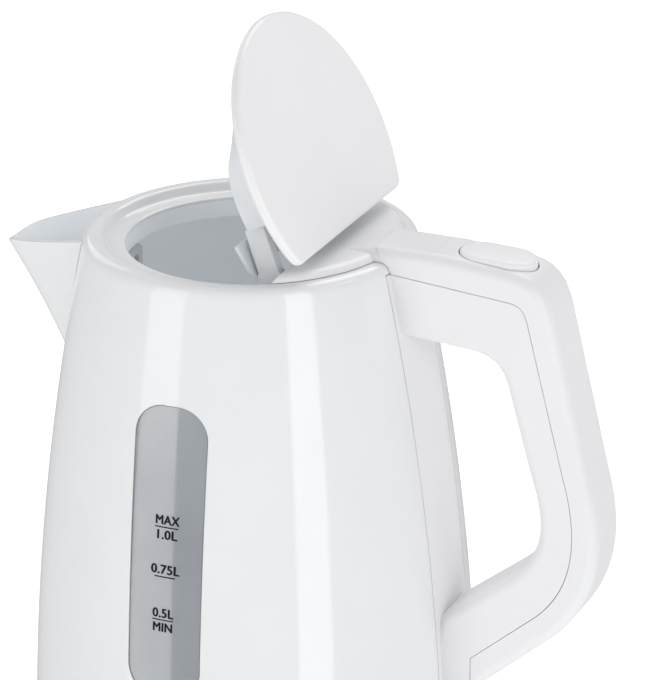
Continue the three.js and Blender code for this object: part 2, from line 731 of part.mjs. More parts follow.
// ---------- assembly ----------
const LOOKS = {
  white: { color: 0xf1f1f0, roughness: 0.2, metalness: 0 },
  satin: { color: 0xeeeef0, roughness: 0.42, metalness: 0 },
  grey: { color: 0x9c9ea0, roughness: 0.45, metalness: 0 },
  smoke: { color: 0xb3b6b9, roughness: 0.15, metalness: 0 },
  steel: { color: 0xb9bbbd, roughness: 0.3, metalness: 1 },
  brass: { color: 0xc9a55a, roughness: 0.3, metalness: 1 },
  black: { color: 0x202122, roughness: 0.6, metalness: 0 },
  rubber: { color: 0x3a3a3b, roughness: 0.8, metalness: 0 },
};

const kettle = new THREE.Group();
const lid = new THREE.Group();

function add(name, manifold, look, parent = kettle) {
  const mesh = new THREE.Mesh(geometryOf(manifold), new THREE.MeshStandardMaterial(LOOKS[look]));
  mesh.name = name;
  parent.add(mesh);
}

add("body_shell", bodyShell(), "white");
add("spout", spout(), "white");
add("water_window", waterWindow(), "smoke");
add("filter_frame", filterFrame(), "white");
add("filter_sheet", filterSheet(), "grey");
add("handle_grip", handleGrip(), "satin");
add("handle_cover", handleCover(), "satin");
add("lid_button", lidButton(), "satin");
add("button_spring", helix([BUTTON_X, 0], 3, 0.35, SPRING_SHELF_Z + 0.7, 192.8, 3), "steel");
add("latch_slider", latchSlider(), "grey");
add("lid_spring", lidSpring(), "steel");
add("hinge_pin", rod("y", [HINGE_X, 0, HINGE_Z], PIN_R, PIN_HALF, 24), "steel");
add("lid_plate", lidPlate(), "satin", lid);
add("lid_pan", lidPan(), "white", lid);
add("lid_arm_near", lidArm(-1), "grey", lid);
add("lid_arm_far", lidArm(1), "grey", lid);
PAN_SCREW_Y.forEach((y, i) => add(`pan_screw_${i + 1}`, screw(PAN_SCREW_X, y, 181.2, 5.6), "steel", lid));

add("heating_plate", disc(70.1, FLOOR_Z - 1.2, FLOOR_Z, 40), "steel");
add("plate_seal", ring(70.5, 73.2, SHELF_Z + GAP, FLOOR_Z + 1, 40), "rubber");
add("heating_element", heatingElement(), "steel");
add("bimetal_disc_near", rod("z", [12, -14, FLOOR_Z - 2.2], 6.5, 0.4, 24), "steel");
add("bimetal_disc_far", rod("z", [12, 14, FLOOR_Z - 2.2], 6.5, 0.4, 24), "steel");
add("control_unit", controlUnit(), "black");
add("kettle_socket", kettleSocket(), "black");
add("socket_pin", socketPin(), "brass");
add("bottom_cover", bottomCover(), "white");
BOTTOM_SCREWS.forEach(([x, y], i) => {
  add(`bottom_screw_${i + 1}`, screw(x, y, BOTTOM_SCREW.z, BOTTOM_SCREW.length), "steel");
});
add("switch_bracket", switchBracket(), "grey");
add("switch_lever", switchLever(), "grey");
add("switch_pin", rod("y", [PIVOT.x, 0, PIVOT.z], 1.2, 10.6, 16), "steel");
add("trip_rod", tripRod(), "grey");
add("steam_disc", steamDisc(), "steel");

add("base_cover", baseCover(), "white");
add("base_plate", basePlate(), "white");
add("base_connector", baseConnector(), "black");
add("contact_pin", rod("z", [0, 0, 22.6], 1.9, 4.4, 20), "brass");
CONTACTS.forEach(([inner, outer], i) => {
  add(`contact_ring_${i + 1}`, ring(inner, outer, 14, 29.6, 20), "brass");
});
add("cord_gland", cordGland(), "rubber");
FEET.forEach(([x, y], i) => add(`foot_pad_${i + 1}`, rod("z", [x, y, 0.45], 5.9, 0.45, 16), "rubber"));
BASE_SCREWS.forEach(([x, y], i) => {
  add(`base_screw_${i + 1}`, screw(x, y, BASE_SCREW.z, BASE_SCREW.length), "steel");
});

// The lid's group turns about the hinge pin from closed to its open stop.
lid.position.set(HINGE_X, 0, HINGE_Z);
lid.rotation.y = LID_OPEN;
const closedLid = new THREE.Group();
closedLid.position.set(-HINGE_X, 0, -HINGE_Z);
closedLid.add(...lid.children.slice());
lid.add(closedLid);
kettle.add(lid);

export default kettle;
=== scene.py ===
"""Looks for the electric kettle: smooth detailed meshes and procedural materials.

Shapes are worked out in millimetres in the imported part's frame and turned into metres when
they are placed. +Z is up, +X points to the handle, the spout is at -X and the water window
faces -Y.
"""

import json
import math

import bmesh
import bpy
import numpy as np
from mathutils import Matrix, Vector


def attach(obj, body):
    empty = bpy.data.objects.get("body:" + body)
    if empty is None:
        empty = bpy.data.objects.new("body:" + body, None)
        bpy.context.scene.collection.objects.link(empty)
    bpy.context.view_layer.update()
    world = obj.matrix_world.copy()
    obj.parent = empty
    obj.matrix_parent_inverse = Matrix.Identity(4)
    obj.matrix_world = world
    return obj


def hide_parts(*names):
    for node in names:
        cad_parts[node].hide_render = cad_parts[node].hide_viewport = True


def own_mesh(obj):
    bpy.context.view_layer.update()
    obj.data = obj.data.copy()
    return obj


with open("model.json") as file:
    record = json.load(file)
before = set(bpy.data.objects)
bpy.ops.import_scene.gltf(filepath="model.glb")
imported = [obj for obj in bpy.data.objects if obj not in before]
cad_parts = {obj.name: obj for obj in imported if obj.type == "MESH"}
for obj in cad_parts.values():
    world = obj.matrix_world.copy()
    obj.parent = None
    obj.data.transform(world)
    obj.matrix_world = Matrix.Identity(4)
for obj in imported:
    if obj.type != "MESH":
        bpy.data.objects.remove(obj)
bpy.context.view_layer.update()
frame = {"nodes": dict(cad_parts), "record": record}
scene = bpy.context.scene

# ---------- dimensions, the same as the part's ----------
GAP = 0.3
SEAM = 0.18  # the visible line between the handle's halves
CREST_Z = 192
LEDGE_DROP = 3
RECESS_R = 48.3
MOUTH_R = 42.6
FLANGE_T = 7.5
WALL = 3
BODY_BOTTOM = 18.5
FLOOR_Z = 46
SHELF_Z = 43.4
LID_R = 49.8
LID_CHORD_X = 26
LID_TOP_Z = 194.4
LID_UNDER_Z = 189.6
LID_OPEN = math.radians(65.7)
HINGE_X = 36
HINGE_Z = 187.8
PIN_R = 1.5
PAN_R = 40
PAN_WALL = 1.8
PAN_SCREW_X = -12
PAN_SCREW_Y = (-14, 14)
ARM_Y = 32.5
ARM_T = 4
STRIP_HALF = 14
STRIP_T = 1.1
STRIP_TOP = 188.4
HANDLE_HALF = 12
HANDLE_WALL = 2.3
HOLLOW_HALF = 9.2  # half width of the handle's hollow
HANDLE_ROUND = 4
COVER_END_X = 86
WINDOW_HALF = 13.3
WINDOW_LOW = 50
WINDOW_HIGH = 152
WINDOW_ROUND = 11
WINDOW_FACE = 0.4  # depth of the pane's faces below the jug's surface
WINDOW_BACK = 2.8
SPOUT_SPREAD = 3.65
SPOUT_WALL = 1.8
SPOUT_TIP_X = -91.7
SPOUT_TIP_Z = 176.8
SPOUT_LIP = (6.5, 3.5)
SPOUT_RIM_SLOPE = 0.262
SPOUT_ROOT_X = -50
KEEL_Z = 130
BUTTON_FRONT = 76.8
BUTTON_REAR = 103.6
BUTTON_HALF = 8.2
BUTTON_X = 90
SPRING_SHELF_Z = 185.6
BASE_R = 75.5
BASE_TOP = 17
GLAND_Z = 7.3
GLAND_R = 3.9
ROUND = 288  # facets around the jug

MM = 0.001


# ---------- mesh tools ----------
def link_object(name, data):
    obj = bpy.data.objects.new(name, data)
    scene.collection.objects.link(obj)
    return obj


def new_object(verts, faces):
    """A closed mesh with its faces turned outwards; place names it once it is finished."""
    mesh = bpy.data.meshes.new("piece")
    mesh.from_pydata([tuple(v) for v in verts], [], faces)
    mesh.update()
    obj = link_object("piece", mesh)
    if volume(obj) < 0:
        mesh.flip_normals()
    return obj


def read(items, field, width=3, kind=float):
    values = np.empty(len(items) * width, kind)
    items.foreach_get(field, values)
    return values.reshape(-1, width) if width > 1 else values


def evaluated(obj):
    """A new mesh of the object with its modifiers applied."""
    deps = bpy.context.evaluated_depsgraph_get()
    return bpy.data.meshes.new_from_object(obj.evaluated_get(deps))


def volume(obj):
    """Six times the signed volume."""
    mesh = obj.data
    mesh.calc_loop_triangles()
    tri = read(mesh.vertices, "co")[read(mesh.loop_triangles, "vertices", 3, np.int32)]
    return float(np.einsum("ij,ij->i", tri[:, 0], np.cross(tri[:, 1], tri[:, 2])).sum())


def lathe(profile, segments=ROUND):
    """A body of revolution about Z from (radius, height) points; it closes itself."""
    verts, rows = [], []
    turn = [2 * math.pi * i / segments for i in range(segments)]
    for r, z in profile:
        if r < 1e-9:
            rows.append([len(verts)] * segments)
            verts.append((0, 0, z))
        else:
            rows.append(list(range(len(verts), len(verts) + segments)))
            verts.extend((r * math.cos(a), r * math.sin(a), z) for a in turn)
    pairs = list(zip(rows, rows[1:]))
    if profile[0][0] > 1e-9:
        pairs.append((rows[-1], rows[0]))
    faces = []
    for low, high in pairs:
        for i in range(segments):
            j = (i + 1) % segments
            corner = list(dict.fromkeys([low[i], low[j], high[j], high[i]]))
            if len(corner) > 2:
                faces.append(corner)
    return new_object(verts, faces)


def loft(rings):
    """A closed skin over a stack of rings with equal point counts."""
    n = len(rings[0])
    verts = [p for ring in rings for p in ring]
    faces = [
        [k * n + i, k * n + (i + 1) % n, (k + 1) * n + (i + 1) % n, (k + 1) * n + i]
        for k in range(len(rings) - 1)
        for i in range(n)
    ]
    faces.append(list(range(n))[::-1])
    faces.append([(len(rings) - 1) * n + i for i in range(n)])
    return new_object(verts, faces)


def offset(outline, distance):
    """The closed outline moved inwards; its corners keep their angles."""
    p = np.array(outline, float)
    x, y = p[:, 0], p[:, 1]
    area = np.sum(x * np.roll(y, -1) - np.roll(x, -1) * y)
    ahead = np.roll(p, -1, 0) - p
    ahead /= np.linalg.norm(ahead, axis=1)[:, None]
    behind = np.roll(ahead, 1, 0)
    side = np.stack([-ahead[:, 1], ahead[:, 0]], 1) * np.sign(area)
    side_behind = np.stack([-behind[:, 1], behind[:, 0]], 1) * np.sign(area)
    middle = side + side_behind
    scale = 2 / np.maximum(np.einsum("ij,ij->i", middle, middle), 0.8)
    return p + middle * scale[:, None] * distance


def quarter(radius, steps):
    """(inset, rise) pairs of a rounded edge, from the flat end to the full outline."""
    return [
        (radius * (1 - math.sin(t)), radius * (1 - math.cos(t)))
        for t in (math.pi / 2 * k / steps for k in range(steps + 1))
    ]


def extrude(outline, low, high, edge_low=0.0, edge_high=0.0, steps=6):
    """(outline, level) layers of an extrusion with rounded or square edges."""
    layers = []
    if edge_low > 0:
        layers += [(inset, low + rise) for inset, rise in quarter(edge_low, steps)]
    else:
        layers.append((0, low))
    if edge_high > 0:
        layers += [(inset, high - rise) for inset, rise in quarter(edge_high, steps)[::-1]]
    else:
        layers.append((0, high))
    return [(offset(outline, inset), level) for inset, level in layers]


def slab(outline, low, high, edge=0.0, steps=6):
    """An (x, z) outline extruded along Y."""
    layers = extrude(outline, low, high, edge, edge, steps)
    return loft([[(x, y, z) for x, z in ring] for ring, y in layers])


def panel(outline, low, high, edge=0.0, steps=4):
    """A (y, z) outline extruded along X."""
    layers = extrude(outline, low, high, edge, edge, steps)
    return loft([[(x, y, z) for y, z in ring] for ring, x in layers])


def plate(outline, low, high, edge_low=0.0, edge_high=0.0, steps=6):
    """An (x, y) outline extruded along Z."""
    layers = extrude(outline, low, high, edge_low, edge_high, steps)
    return loft([[(x, y, z) for x, y in ring] for ring, z in layers])


def box(low, high, edge=0.0):
    outline = [(low[0], low[1]), (high[0], low[1]), (high[0], high[1]), (low[0], high[1])]
    if edge:
        outline = rounded_rect(low[0], low[1], high[0], high[1], edge, 4)
    return plate(outline, low[2], high[2], edge * 0.9, edge * 0.9, 3)


def rod(axis, centre, radius, half, segments=48, edge=0.0):
    """A cylinder about its centre, along x, y or z."""
    circle = [
        (radius * math.cos(a), radius * math.sin(a))
        for a in (2 * math.pi * i / segments for i in range(segments))
    ]
    rings = []
    for ring, level in extrude(circle, -half, half, edge, edge, 3):
        if axis == "z":
            rings.append([(centre[0] + a, centre[1] + b, centre[2] + level) for a, b in ring])
        elif axis == "y":
            rings.append([(centre[0] + a, centre[1] + level, centre[2] + b) for a, b in ring])
        else:
            rings.append([(centre[0] + level, centre[1] + a, centre[2] + b) for a, b in ring])
    return loft(rings)


def rounded_rect(x0, y0, x1, y1, r, steps=16):
    outline = []
    corners = [
        (x1 - r, y0 + r, -90),
        (x1 - r, y1 - r, 0),
        (x0 + r, y1 - r, 90),
        (x0 + r, y0 + r, 180),
    ]
    for cx, cy, start in corners:
        for k in range(steps + 1):
            a = math.radians(start + 90 * k / steps)
            outline.append((cx + r * math.cos(a), cy + r * math.sin(a)))
    return outline


def bezier(p0, p1, p2, p3, count):
    """Points of a cubic curve after its first one."""
    curve = []
    for k in range(1, count + 1):
        t = k / count
        a, b, c, d = (1 - t) ** 3, 3 * t * (1 - t) ** 2, 3 * t * t * (1 - t), t ** 3
        curve.append(tuple(a * p0[i] + b * p1[i] + c * p2[i] + d * p3[i] for i in range(2)))
    return curve


def tube(path, radius, sides=12):
    """A round bar swept along a path of 3-D points."""
    p = np.array(path, float)
    tangent = np.gradient(p, axis=0)
    tangent /= np.linalg.norm(tangent, axis=1)[:, None]
    up = np.array([0.0, 0.0, 1.0]) if abs(tangent[0][2]) < 0.9 else np.array([1.0, 0.0, 0.0])
    rings = []
    for point, along in zip(p, tangent):
        up = up - along * up.dot(along)
        up /= np.linalg.norm(up)
        side = np.cross(along, up)
        rings.append([
            tuple(point + radius * (math.cos(a) * up + math.sin(a) * side))
            for a in (2 * math.pi * i / sides for i in range(sides))
        ])
    return loft(rings)


def join_solid(obj, tool, operation):
    step = obj.modifiers.new("step", "BOOLEAN")
    step.operation = operation
    step.solver = "MANIFOLD"
    step.object = tool
    mesh = evaluated(obj)
    obj.modifiers.clear()
    if len(mesh.polygons) == 0:
        raise RuntimeError(f"{operation} left nothing")
    obj.data = mesh
    bpy.data.objects.remove(tool)
    return obj


def cut(obj, *tools):
    for tool in tools:
        join_solid(obj, tool, "DIFFERENCE")
    return obj


def union(obj, *tools):
    for tool in tools:
        join_solid(obj, tool, "UNION")
    return obj


def common(obj, *tools):
    for tool in tools:
        join_solid(obj, tool, "INTERSECT")
    return obj


def profile_normals(xyz, face_normals, profile, reach=0.03):
    """Exact normals where a point lies on the surface turned from profile, else zeros."""
    p = np.array(profile, float)
    if profile[0][0] > 1e-9:
        p = np.vstack([p, p[:1]])
    seg = p[1:] - p[:-1]
    length = np.maximum(np.linalg.norm(seg, axis=1), 1e-9)
    along = seg / length[:, None]
    area = np.sum(p[:-1, 0] * p[1:, 1] - p[1:, 0] * p[:-1, 1])
    out = np.stack([along[:, 1], -along[:, 0]], 1) * (1 if area > 0 else -1)
    start, end = out.copy(), out.copy()
    for i in range(1, len(out)):
        if out[i].dot(out[i - 1]) > 0.86:
            middle = out[i] + out[i - 1]
            middle /= np.linalg.norm(middle)
            start[i], end[i - 1] = middle, middle
    radius = np.hypot(xyz[:, 0], xyz[:, 1])
    point = np.stack([radius, xyz[:, 2]], 1)
    best = np.full(len(point), 1e9)
    normal = np.zeros((len(point), 2))
    unit = np.maximum(radius, 1e-9)
    face_radial = (face_normals[:, 0] * xyz[:, 0] + face_normals[:, 1] * xyz[:, 1]) / unit
    for i in range(len(seg)):
        t = np.clip(((point - p[i]) @ along[i]) / length[i], 0, 1)
        gap = np.linalg.norm(point - (p[i] + t[:, None] * seg[i]), axis=1)
        here = start[i] * (1 - t[:, None]) + end[i] * t[:, None]
        here /= np.linalg.norm(here, axis=1)[:, None]
        facing = here[:, 0] * face_radial + here[:, 1] * face_normals[:, 2]
        better = (gap < reach) & (facing > 0.9) & (gap - 0.02 * facing < best)
        best[better] = (gap - 0.02 * facing)[better]
        normal[better] = here[better]
    return np.stack(
        [normal[:, 0] * xyz[:, 0] / unit, normal[:, 0] * xyz[:, 1] / unit, normal[:, 1]], 1
    )


def shade(obj, angle=32, profiles=()):
    """Smooth shading with sharp creases, and exact normals on turned surfaces."""
    mesh = obj.data
    mesh.polygons.foreach_set("use_smooth", [True] * len(mesh.polygons))
    mesh.set_sharp_from_angle(angle=math.radians(angle))
    step = obj.modifiers.new("weigh", "WEIGHTED_NORMAL")
    step.keep_sharp = True
    obj.data = evaluated(obj)
    obj.modifiers.clear()
    if not profiles:
        return obj
    mesh = obj.data
    xyz = read(mesh.vertices, "co")[read(mesh.loops, "vertex_index", 1, np.int32)]
    totals = read(mesh.polygons, "loop_total", 1, np.int32)
    faces = np.repeat(read(mesh.polygons, "normal"), totals, axis=0)
    result = read(mesh.corner_normals, "vector")
    for profile in profiles:
        exact = profile_normals(xyz, faces, profile)
        found = np.linalg.norm(exact, axis=1) > 0.5
        result[found] = exact[found]
    mesh.normals_split_custom_set([tuple(v) for v in result])
    return obj


OPEN_LID = (
    Matrix.Translation((HINGE_X, 0, HINGE_Z))
    @ Matrix.Rotation(LID_OPEN, 4, "Y")
    @ Matrix.Translation((-HINGE_X, 0, -HINGE_Z))
)


def place(obj, name, body, material, nodes=(), lid=False):
    """Names a finished piece, turns millimetres into metres and lets it ride on its body."""
    obj.name = name
    obj.data.name = name
    if lid:
        obj.data.transform(OPEN_LID)
    obj.data.transform(Matrix.Scale(MM, 4))
    obj.data.materials.clear()
    obj.data.materials.append(material)
    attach(obj, body)
    if nodes:
        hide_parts(*nodes)
    return obj


# ---------- materials ----------
# Sockets of a colour Mix node, which share their names with its other types.
MIX_A, MIX_B, MIX_COLOUR = 6, 7, 2
EDGE_WEAR = 0.08  # most that scuffed edges add to the roughness


def material(name):
    mat = bpy.data.materials.new(name)
    mat.use_nodes = True
    tree = mat.node_tree
    return mat, tree, tree.nodes["Principled BSDF"]


def node_with(tree, kind, **values):
    """A new shader node with values on its sockets; an underscore stands for a space."""
    node = tree.nodes.new(kind)
    set_values(node, **values)
    return node


def set_values(node, **values):
    for name, value in values.items():
        node.inputs[name.replace("_", " ")].default_value = value


def noise(tree, scale, detail, roughness, stretch=(1, 1, 1)):
    where = tree.nodes.new("ShaderNodeTexCoord")
    fit = node_with(tree, "ShaderNodeMapping", Scale=stretch)
    tex = node_with(tree, "ShaderNodeTexNoise", Scale=scale, Detail=detail, Roughness=roughness)
    tree.links.new(where.outputs["Object"], fit.inputs["Vector"])
    tree.links.new(fit.outputs["Vector"], tex.inputs["Vector"])
    return tex


def spread(tree, texture, low, high, out_low, out_high):
    """The texture's values from low to high, stretched between two other values."""
    return stretched(tree, texture.outputs["Fac"], low, high, out_low, out_high)


def stretched(tree, source, low, high, out_low, out_high):
    node = tree.nodes.new("ShaderNodeMapRange")
    set_values(node, From_Min=low, From_Max=high, To_Min=out_low, To_Max=out_high)
    tree.links.new(source, node.inputs["Value"])
    return node.outputs["Result"]


def rounded_normal(tree, radius):
    """The surface normal, blended across edges as if they were rounded."""
    bevel = node_with(tree, "ShaderNodeBevel", Radius=radius)
    bevel.samples = 4
    return bevel.outputs["Normal"]


def edge_mask(tree, rounded):
    """0 on open faces, rising to 1 where the rounded normal turns away."""
    plain = tree.nodes.new("ShaderNodeNewGeometry")
    dot = tree.nodes.new("ShaderNodeVectorMath")
    dot.operation = "DOT_PRODUCT"
    tree.links.new(rounded, dot.inputs[0])
    tree.links.new(plain.outputs["Normal"], dot.inputs[1])
    return stretched(tree, dot.outputs["Value"], 0.995, 0.8, 0.0, 1.0)


def cloudy(tree, texture, first, second, low=0.35, high=0.65):
    """A colour that drifts between two close tints with the texture."""
    mix = tree.nodes.new("ShaderNodeMix")
    mix.data_type = "RGBA"
    tree.links.new(spread(tree, texture, low, high, 0, 1), mix.inputs["Factor"])
    mix.inputs[MIX_A].default_value = (*first, 1)
    mix.inputs[MIX_B].default_value = (*second, 1)
    return mix.outputs[MIX_COLOUR]


def bumped(tree, texture, strength, distance, normal=None):
    """A bump of the texture on top of another normal."""
    bump = node_with(tree, "ShaderNodeBump", Strength=strength, Distance=distance)
    tree.links.new(texture.outputs["Fac"], bump.inputs["Height"])
    if normal is not None:
        tree.links.new(normal, bump.inputs["Normal"])
    return bump.outputs["Normal"]


def maths(tree, operation, first, second):
    node = tree.nodes.new("ShaderNodeMath")
    node.operation = operation
    tree.links.new(first, node.inputs[0])
    tree.links.new(second, node.inputs[1])
    return node.outputs[0]


def plastic(
    name, light, dark, rough,
    peel=0.03, grain=0.03, round_edge=0.0004, specular=0.5, painted_glow=0.0, flat_normal=False,
):
    """Moulded plastic: cloudy colour, faint waviness, fine grain, edges scuffed by use and, if
    asked, a painted glow.
    """
    mat, tree, shader = material(name)
    colour = cloudy(tree, noise(tree, 28, 3, 0.5), light, dark)
    rounded = rounded_normal(tree, round_edge)
    scuffed = spread(tree, noise(tree, 420, 5, 0.7), 0.45, 0.7, 0, EDGE_WEAR)
    worn = maths(tree, "MULTIPLY", edge_mask(tree, rounded), scuffed)
    lift = tree.nodes.new("ShaderNodeMix")
    lift.data_type = "RGBA"
    tree.links.new(worn, lift.inputs["Factor"])
    tree.links.new(colour, lift.inputs[MIX_A])
    lift.inputs[MIX_B].default_value = (*[min(1.0, c * 0.8) for c in light], 1)
    tree.links.new(lift.outputs[MIX_COLOUR], shader.inputs["Base Color"])
    smear = noise(tree, 60, 5, 0.6, (1, 1, 0.4))
    rough_map = spread(tree, smear, 0.3, 0.7, rough * 0.86, rough * 1.16)
    tree.links.new(maths(tree, "ADD", rough_map, worn), shader.inputs["Roughness"])
    under = rounded
    if flat_normal:
        under = tree.nodes.new("ShaderNodeNewGeometry").outputs["Normal"]
    waves = bumped(tree, noise(tree, 90, 2, 0.4), peel, 0.0006, under)
    grains = bumped(tree, noise(tree, 2600, 2, 0.5), grain, 0.00012, waves)
    tree.links.new(grains, shader.inputs["Normal"])
    set_values(shader, IOR=1.49, Specular_IOR_Level=specular)
    if painted_glow:  # painted glow: emission stands in for room light that comes through the wall
        tree.links.new(lift.outputs[MIX_COLOUR], shader.inputs["Emission Color"])
        set_values(shader, Emission_Strength=painted_glow)
    return mat


def one_texture(name, grain, light, dark, high, rough, bump, edge, **values):
    """A material whose one texture drives its colour, roughness and bump."""
    mat, tree, shader = material(name)
    texture = noise(tree, *grain)
    colour = cloudy(tree, texture, light, dark, 0.35, high)
    normal = bumped(tree, texture, *bump, rounded_normal(tree, edge) if edge else None)
    tree.links.new(colour, shader.inputs["Base Color"])
    tree.links.new(spread(tree, texture, 0.3, 0.7, *rough), shader.inputs["Roughness"])
    tree.links.new(normal, shader.inputs["Normal"])
    set_values(shader, **values)
    return mat


def metal(name, light, dark, rough):
    """Drawn or turned metal with fine streaks."""
    return one_texture(
        name, (160, 6, 0.6, (1, 1, 12)), light, dark, 0.65,
        (rough * 0.8, rough * 1.3), (0.12, 0.0001), 0.0002, Metallic=1.0,
    )


GLOSS = plastic(
    "white_gloss_plastic", (0.83, 0.835, 0.84), (0.815, 0.82, 0.825), 0.09, grain=0.015
)
LINER = plastic("white_inner_plastic", (0.74, 0.76, 0.775), (0.72, 0.74, 0.755), 0.22)
SATIN = plastic(
    "white_satin_plastic", (0.835, 0.835, 0.85), (0.82, 0.82, 0.835), 0.36, grain=0.06
)
LID_WHITE = plastic(
    "white_lid_plastic", (0.885, 0.885, 0.89), (0.875, 0.875, 0.88), 0.32,
    peel=0.02, grain=0.04, flat_normal=True,
)
# Inner-wall copy of the white plastic, bluish-grey, with a painted glow: its emission stands in
# for room light coming through the wall.
PAINTED_GLOW_INNER = plastic("white_inner_wall_painted_glow", (0.74, 0.765, 0.785), (0.72, 0.745, 0.765), 0.42, painted_glow=0.19)
GREY = plastic(
    "grey_plastic", (0.55, 0.57, 0.585), (0.5, 0.52, 0.535), 0.4, peel=0.05, grain=0.08
)
BLACK = plastic(
    "black_plastic", (0.03, 0.03, 0.032), (0.02, 0.02, 0.022), 0.5, peel=0.05, grain=0.12
)
PRINT = plastic(
    "print_ink", (0.008, 0.009, 0.011), (0.012, 0.013, 0.015), 0.7,
    peel=0.05, round_edge=0.0001, specular=0.15,
)
# Clear smoke-grey moulding: it lets light through and blurs what is behind it.
SMOKE = one_texture(
    "smoke_window_plastic", (30, 4, 0.55, (1, 1, 0.5)), (0.56, 0.59, 0.61), (0.5, 0.53, 0.56),
    0.65, (0.1, 0.2), (0.05, 0.0004), 0.0005, Transmission_Weight=0.55,
    Coat_Weight=1.0, Coat_Roughness=0.06, Coat_IOR=1.55, IOR=1.5,
)
STEEL = metal("brushed_steel", (0.62, 0.62, 0.63), (0.52, 0.52, 0.53), 0.28)
BRASS = metal("contact_brass", (0.75, 0.56, 0.27), (0.62, 0.46, 0.22), 0.25)
RUBBER = one_texture(
    "soft_rubber", (900, 5, 0.7), (0.05, 0.05, 0.052), (0.035, 0.035, 0.037),
    0.7, (0.62, 0.85), (0.25, 0.0002), None,
)

NODE_LOOK = {
    "white_gloss": GLOSS,
    "white_satin": SATIN,
    "window_smoke": SMOKE,
    "grey_plastic": GREY,
    "black_plastic": BLACK,
    "steel": STEEL,
    "brass": BRASS,
    "rubber": RUBBER,
}
for part in frame["record"]["subparts"]:
    node = frame["nodes"][part["node"]]
    node.data.materials.clear()
    node.data.materials.append(NODE_LOOK[part["material_slot"]])


# ---------- the jug ----------
def body_radius(z):
    h = (CREST_Z - z) / 100
    return 56.66 + 21.25 * h - 5.17 * h * h


def levels(low, high, count):
    return [low + (high - low) * i / count for i in range(count + 1)]


SHOULDER_Z = 187
side_line = [(body_radius(z), z) for z in levels(BODY_BOTTOM, SHOULDER_Z, 70)]
shoulder = bezier(side_line[-1], (57.2, 189.6), (56.4, CREST_Z), (53.4, CREST_Z), 18)
ledge_z = CREST_Z - LEDGE_DROP
flange_z = ledge_z - FLANGE_T
rim = (
    [(52.4, CREST_Z)]
    + bezier((52.4, CREST_Z), (51.3, CREST_Z), (50.9, 191.8), (50.3, 191.2), 8)
    + bezier((50.3, 191.2), (49.3, 190.1), (48.9, ledge_z), (47.3, ledge_z), 10)
    + [(43.7, ledge_z)]
    + bezier(
        (43.7, ledge_z), (43, ledge_z), (MOUTH_R, ledge_z - 0.4), (MOUTH_R, ledge_z - 1.1), 8
    )
    + [(MOUTH_R, flange_z + 0.6)]
    + bezier(
        (MOUTH_R, flange_z + 0.6), (MOUTH_R, flange_z + 0.2),
        (MOUTH_R + 0.2, flange_z), (MOUTH_R + 0.6, flange_z), 4,
    )
)
wall_top = flange_z - 6


def inside(z):
    return body_radius(z) - WALL


inner_side = [(inside(z), z) for z in levels(wall_top, SHELF_Z + 8, 50)]
shelf = [
    (inside(SHELF_Z), SHELF_Z),
    (69.5, SHELF_Z),
    (69.5, SHELF_Z - 2),
    (inside(SHELF_Z - 6), SHELF_Z - 6),
    (inside(BODY_BOTTOM), BODY_BOTTOM),
]
BODY_PROFILE = side_line + shoulder + rim + inner_side + shelf


def filled_jug(grow):
    """The jug's outside as one solid with no hollow."""
    return lathe(
        [(0, 0), (body_radius(BODY_BOTTOM) + grow, 0)]
        + [(r + grow, z) for r, z in side_line]
        + [(r + grow * 0.7, z + grow * 0.7) for r, z in shoulder]
        + [(0, CREST_Z + grow)]
    )


def skin(depth_out, depth_in, low, high):
    """A shell between two depths below the jug's outer surface."""
    zs = levels(low, high, 60)
    out = [(body_radius(z) - depth_out, z) for z in zs]
    back = [(body_radius(z) - depth_in, z) for z in reversed(zs)]
    return lathe(out + back)


def window_outline(inset):
    return rounded_rect(
        -WINDOW_HALF + inset,
        WINDOW_LOW + inset,
        WINDOW_HALF - inset,
        WINDOW_HIGH - inset,
        WINDOW_ROUND - inset,
    )


def switch_slot(grow):
    return box([58, -8 - grow, 21.7 - grow], [95, 8 + grow, 31 + grow])


def make_body():
    body = lathe(BODY_PROFILE)
    recess = common(
        skin(-2, STRIP_T + GAP, BODY_BOTTOM - 1, STRIP_TOP + GAP),
        box([20, -STRIP_HALF - GAP, 0], [95, STRIP_HALF + GAP, 200]),
    )
    hinge_notch = union(
        common(box([19, -37.6, 175], [41, 37.6, 189.95]), rod("z", [0, 0, 183], 52.6, 8.1, 120)),
        common(box([19, -37.6, 180], [41, 37.6, 191.1]), rod("z", [0, 0, 183], 49.3, 8.1, 160)),
    )
    latch_notch = box([40, -5.6, 181], [62, 5.6, 193])
    pour_hole = box([-75, -13, 156], [-40, 13, 173.5])
    window_hole = slab(window_outline(0), -90, -30)
    cut(body, window_hole, recess, hinge_notch, latch_notch, pour_hole, switch_slot(GAP))
    return shade(body, 30, [BODY_PROFILE])


jug = place(make_body(), "jug_shell", "jug", GLOSS, ["body_shell"])
# Faces inside the jug take the inner material, which has a painted glow in place of light through
# the wall.
jug.data.materials.append(PAINTED_GLOW_INNER)
for face in jug.data.polygons:
    x, y, z = face.center / MM
    if z < ledge_z - 1 and math.hypot(x, y) < body_radius(z) - 0.9 * WALL:
        face.material_index = 1


def make_window():
    edge = 1.1
    zs = levels(WINDOW_LOW, WINDOW_HIGH, 60)
    face = [(body_radius(z) - WINDOW_FACE, z) for z in zs]
    back = [(body_radius(z) - WINDOW_BACK, z) for z in reversed(zs)]
    pane = common(lathe(face + back), slab(window_outline(GAP), -90, -30, edge, 5))
    return shade(pane, 30, [face + back])


place(make_window(), "window_pane", "jug", SMOKE, ["water_window"])


# ---------- level scale printed on the window ----------
def on_window(x, z, lift):
    r = body_radius(z) - WINDOW_FACE + lift
    return (x, -math.sqrt(r * r - x * x), z)


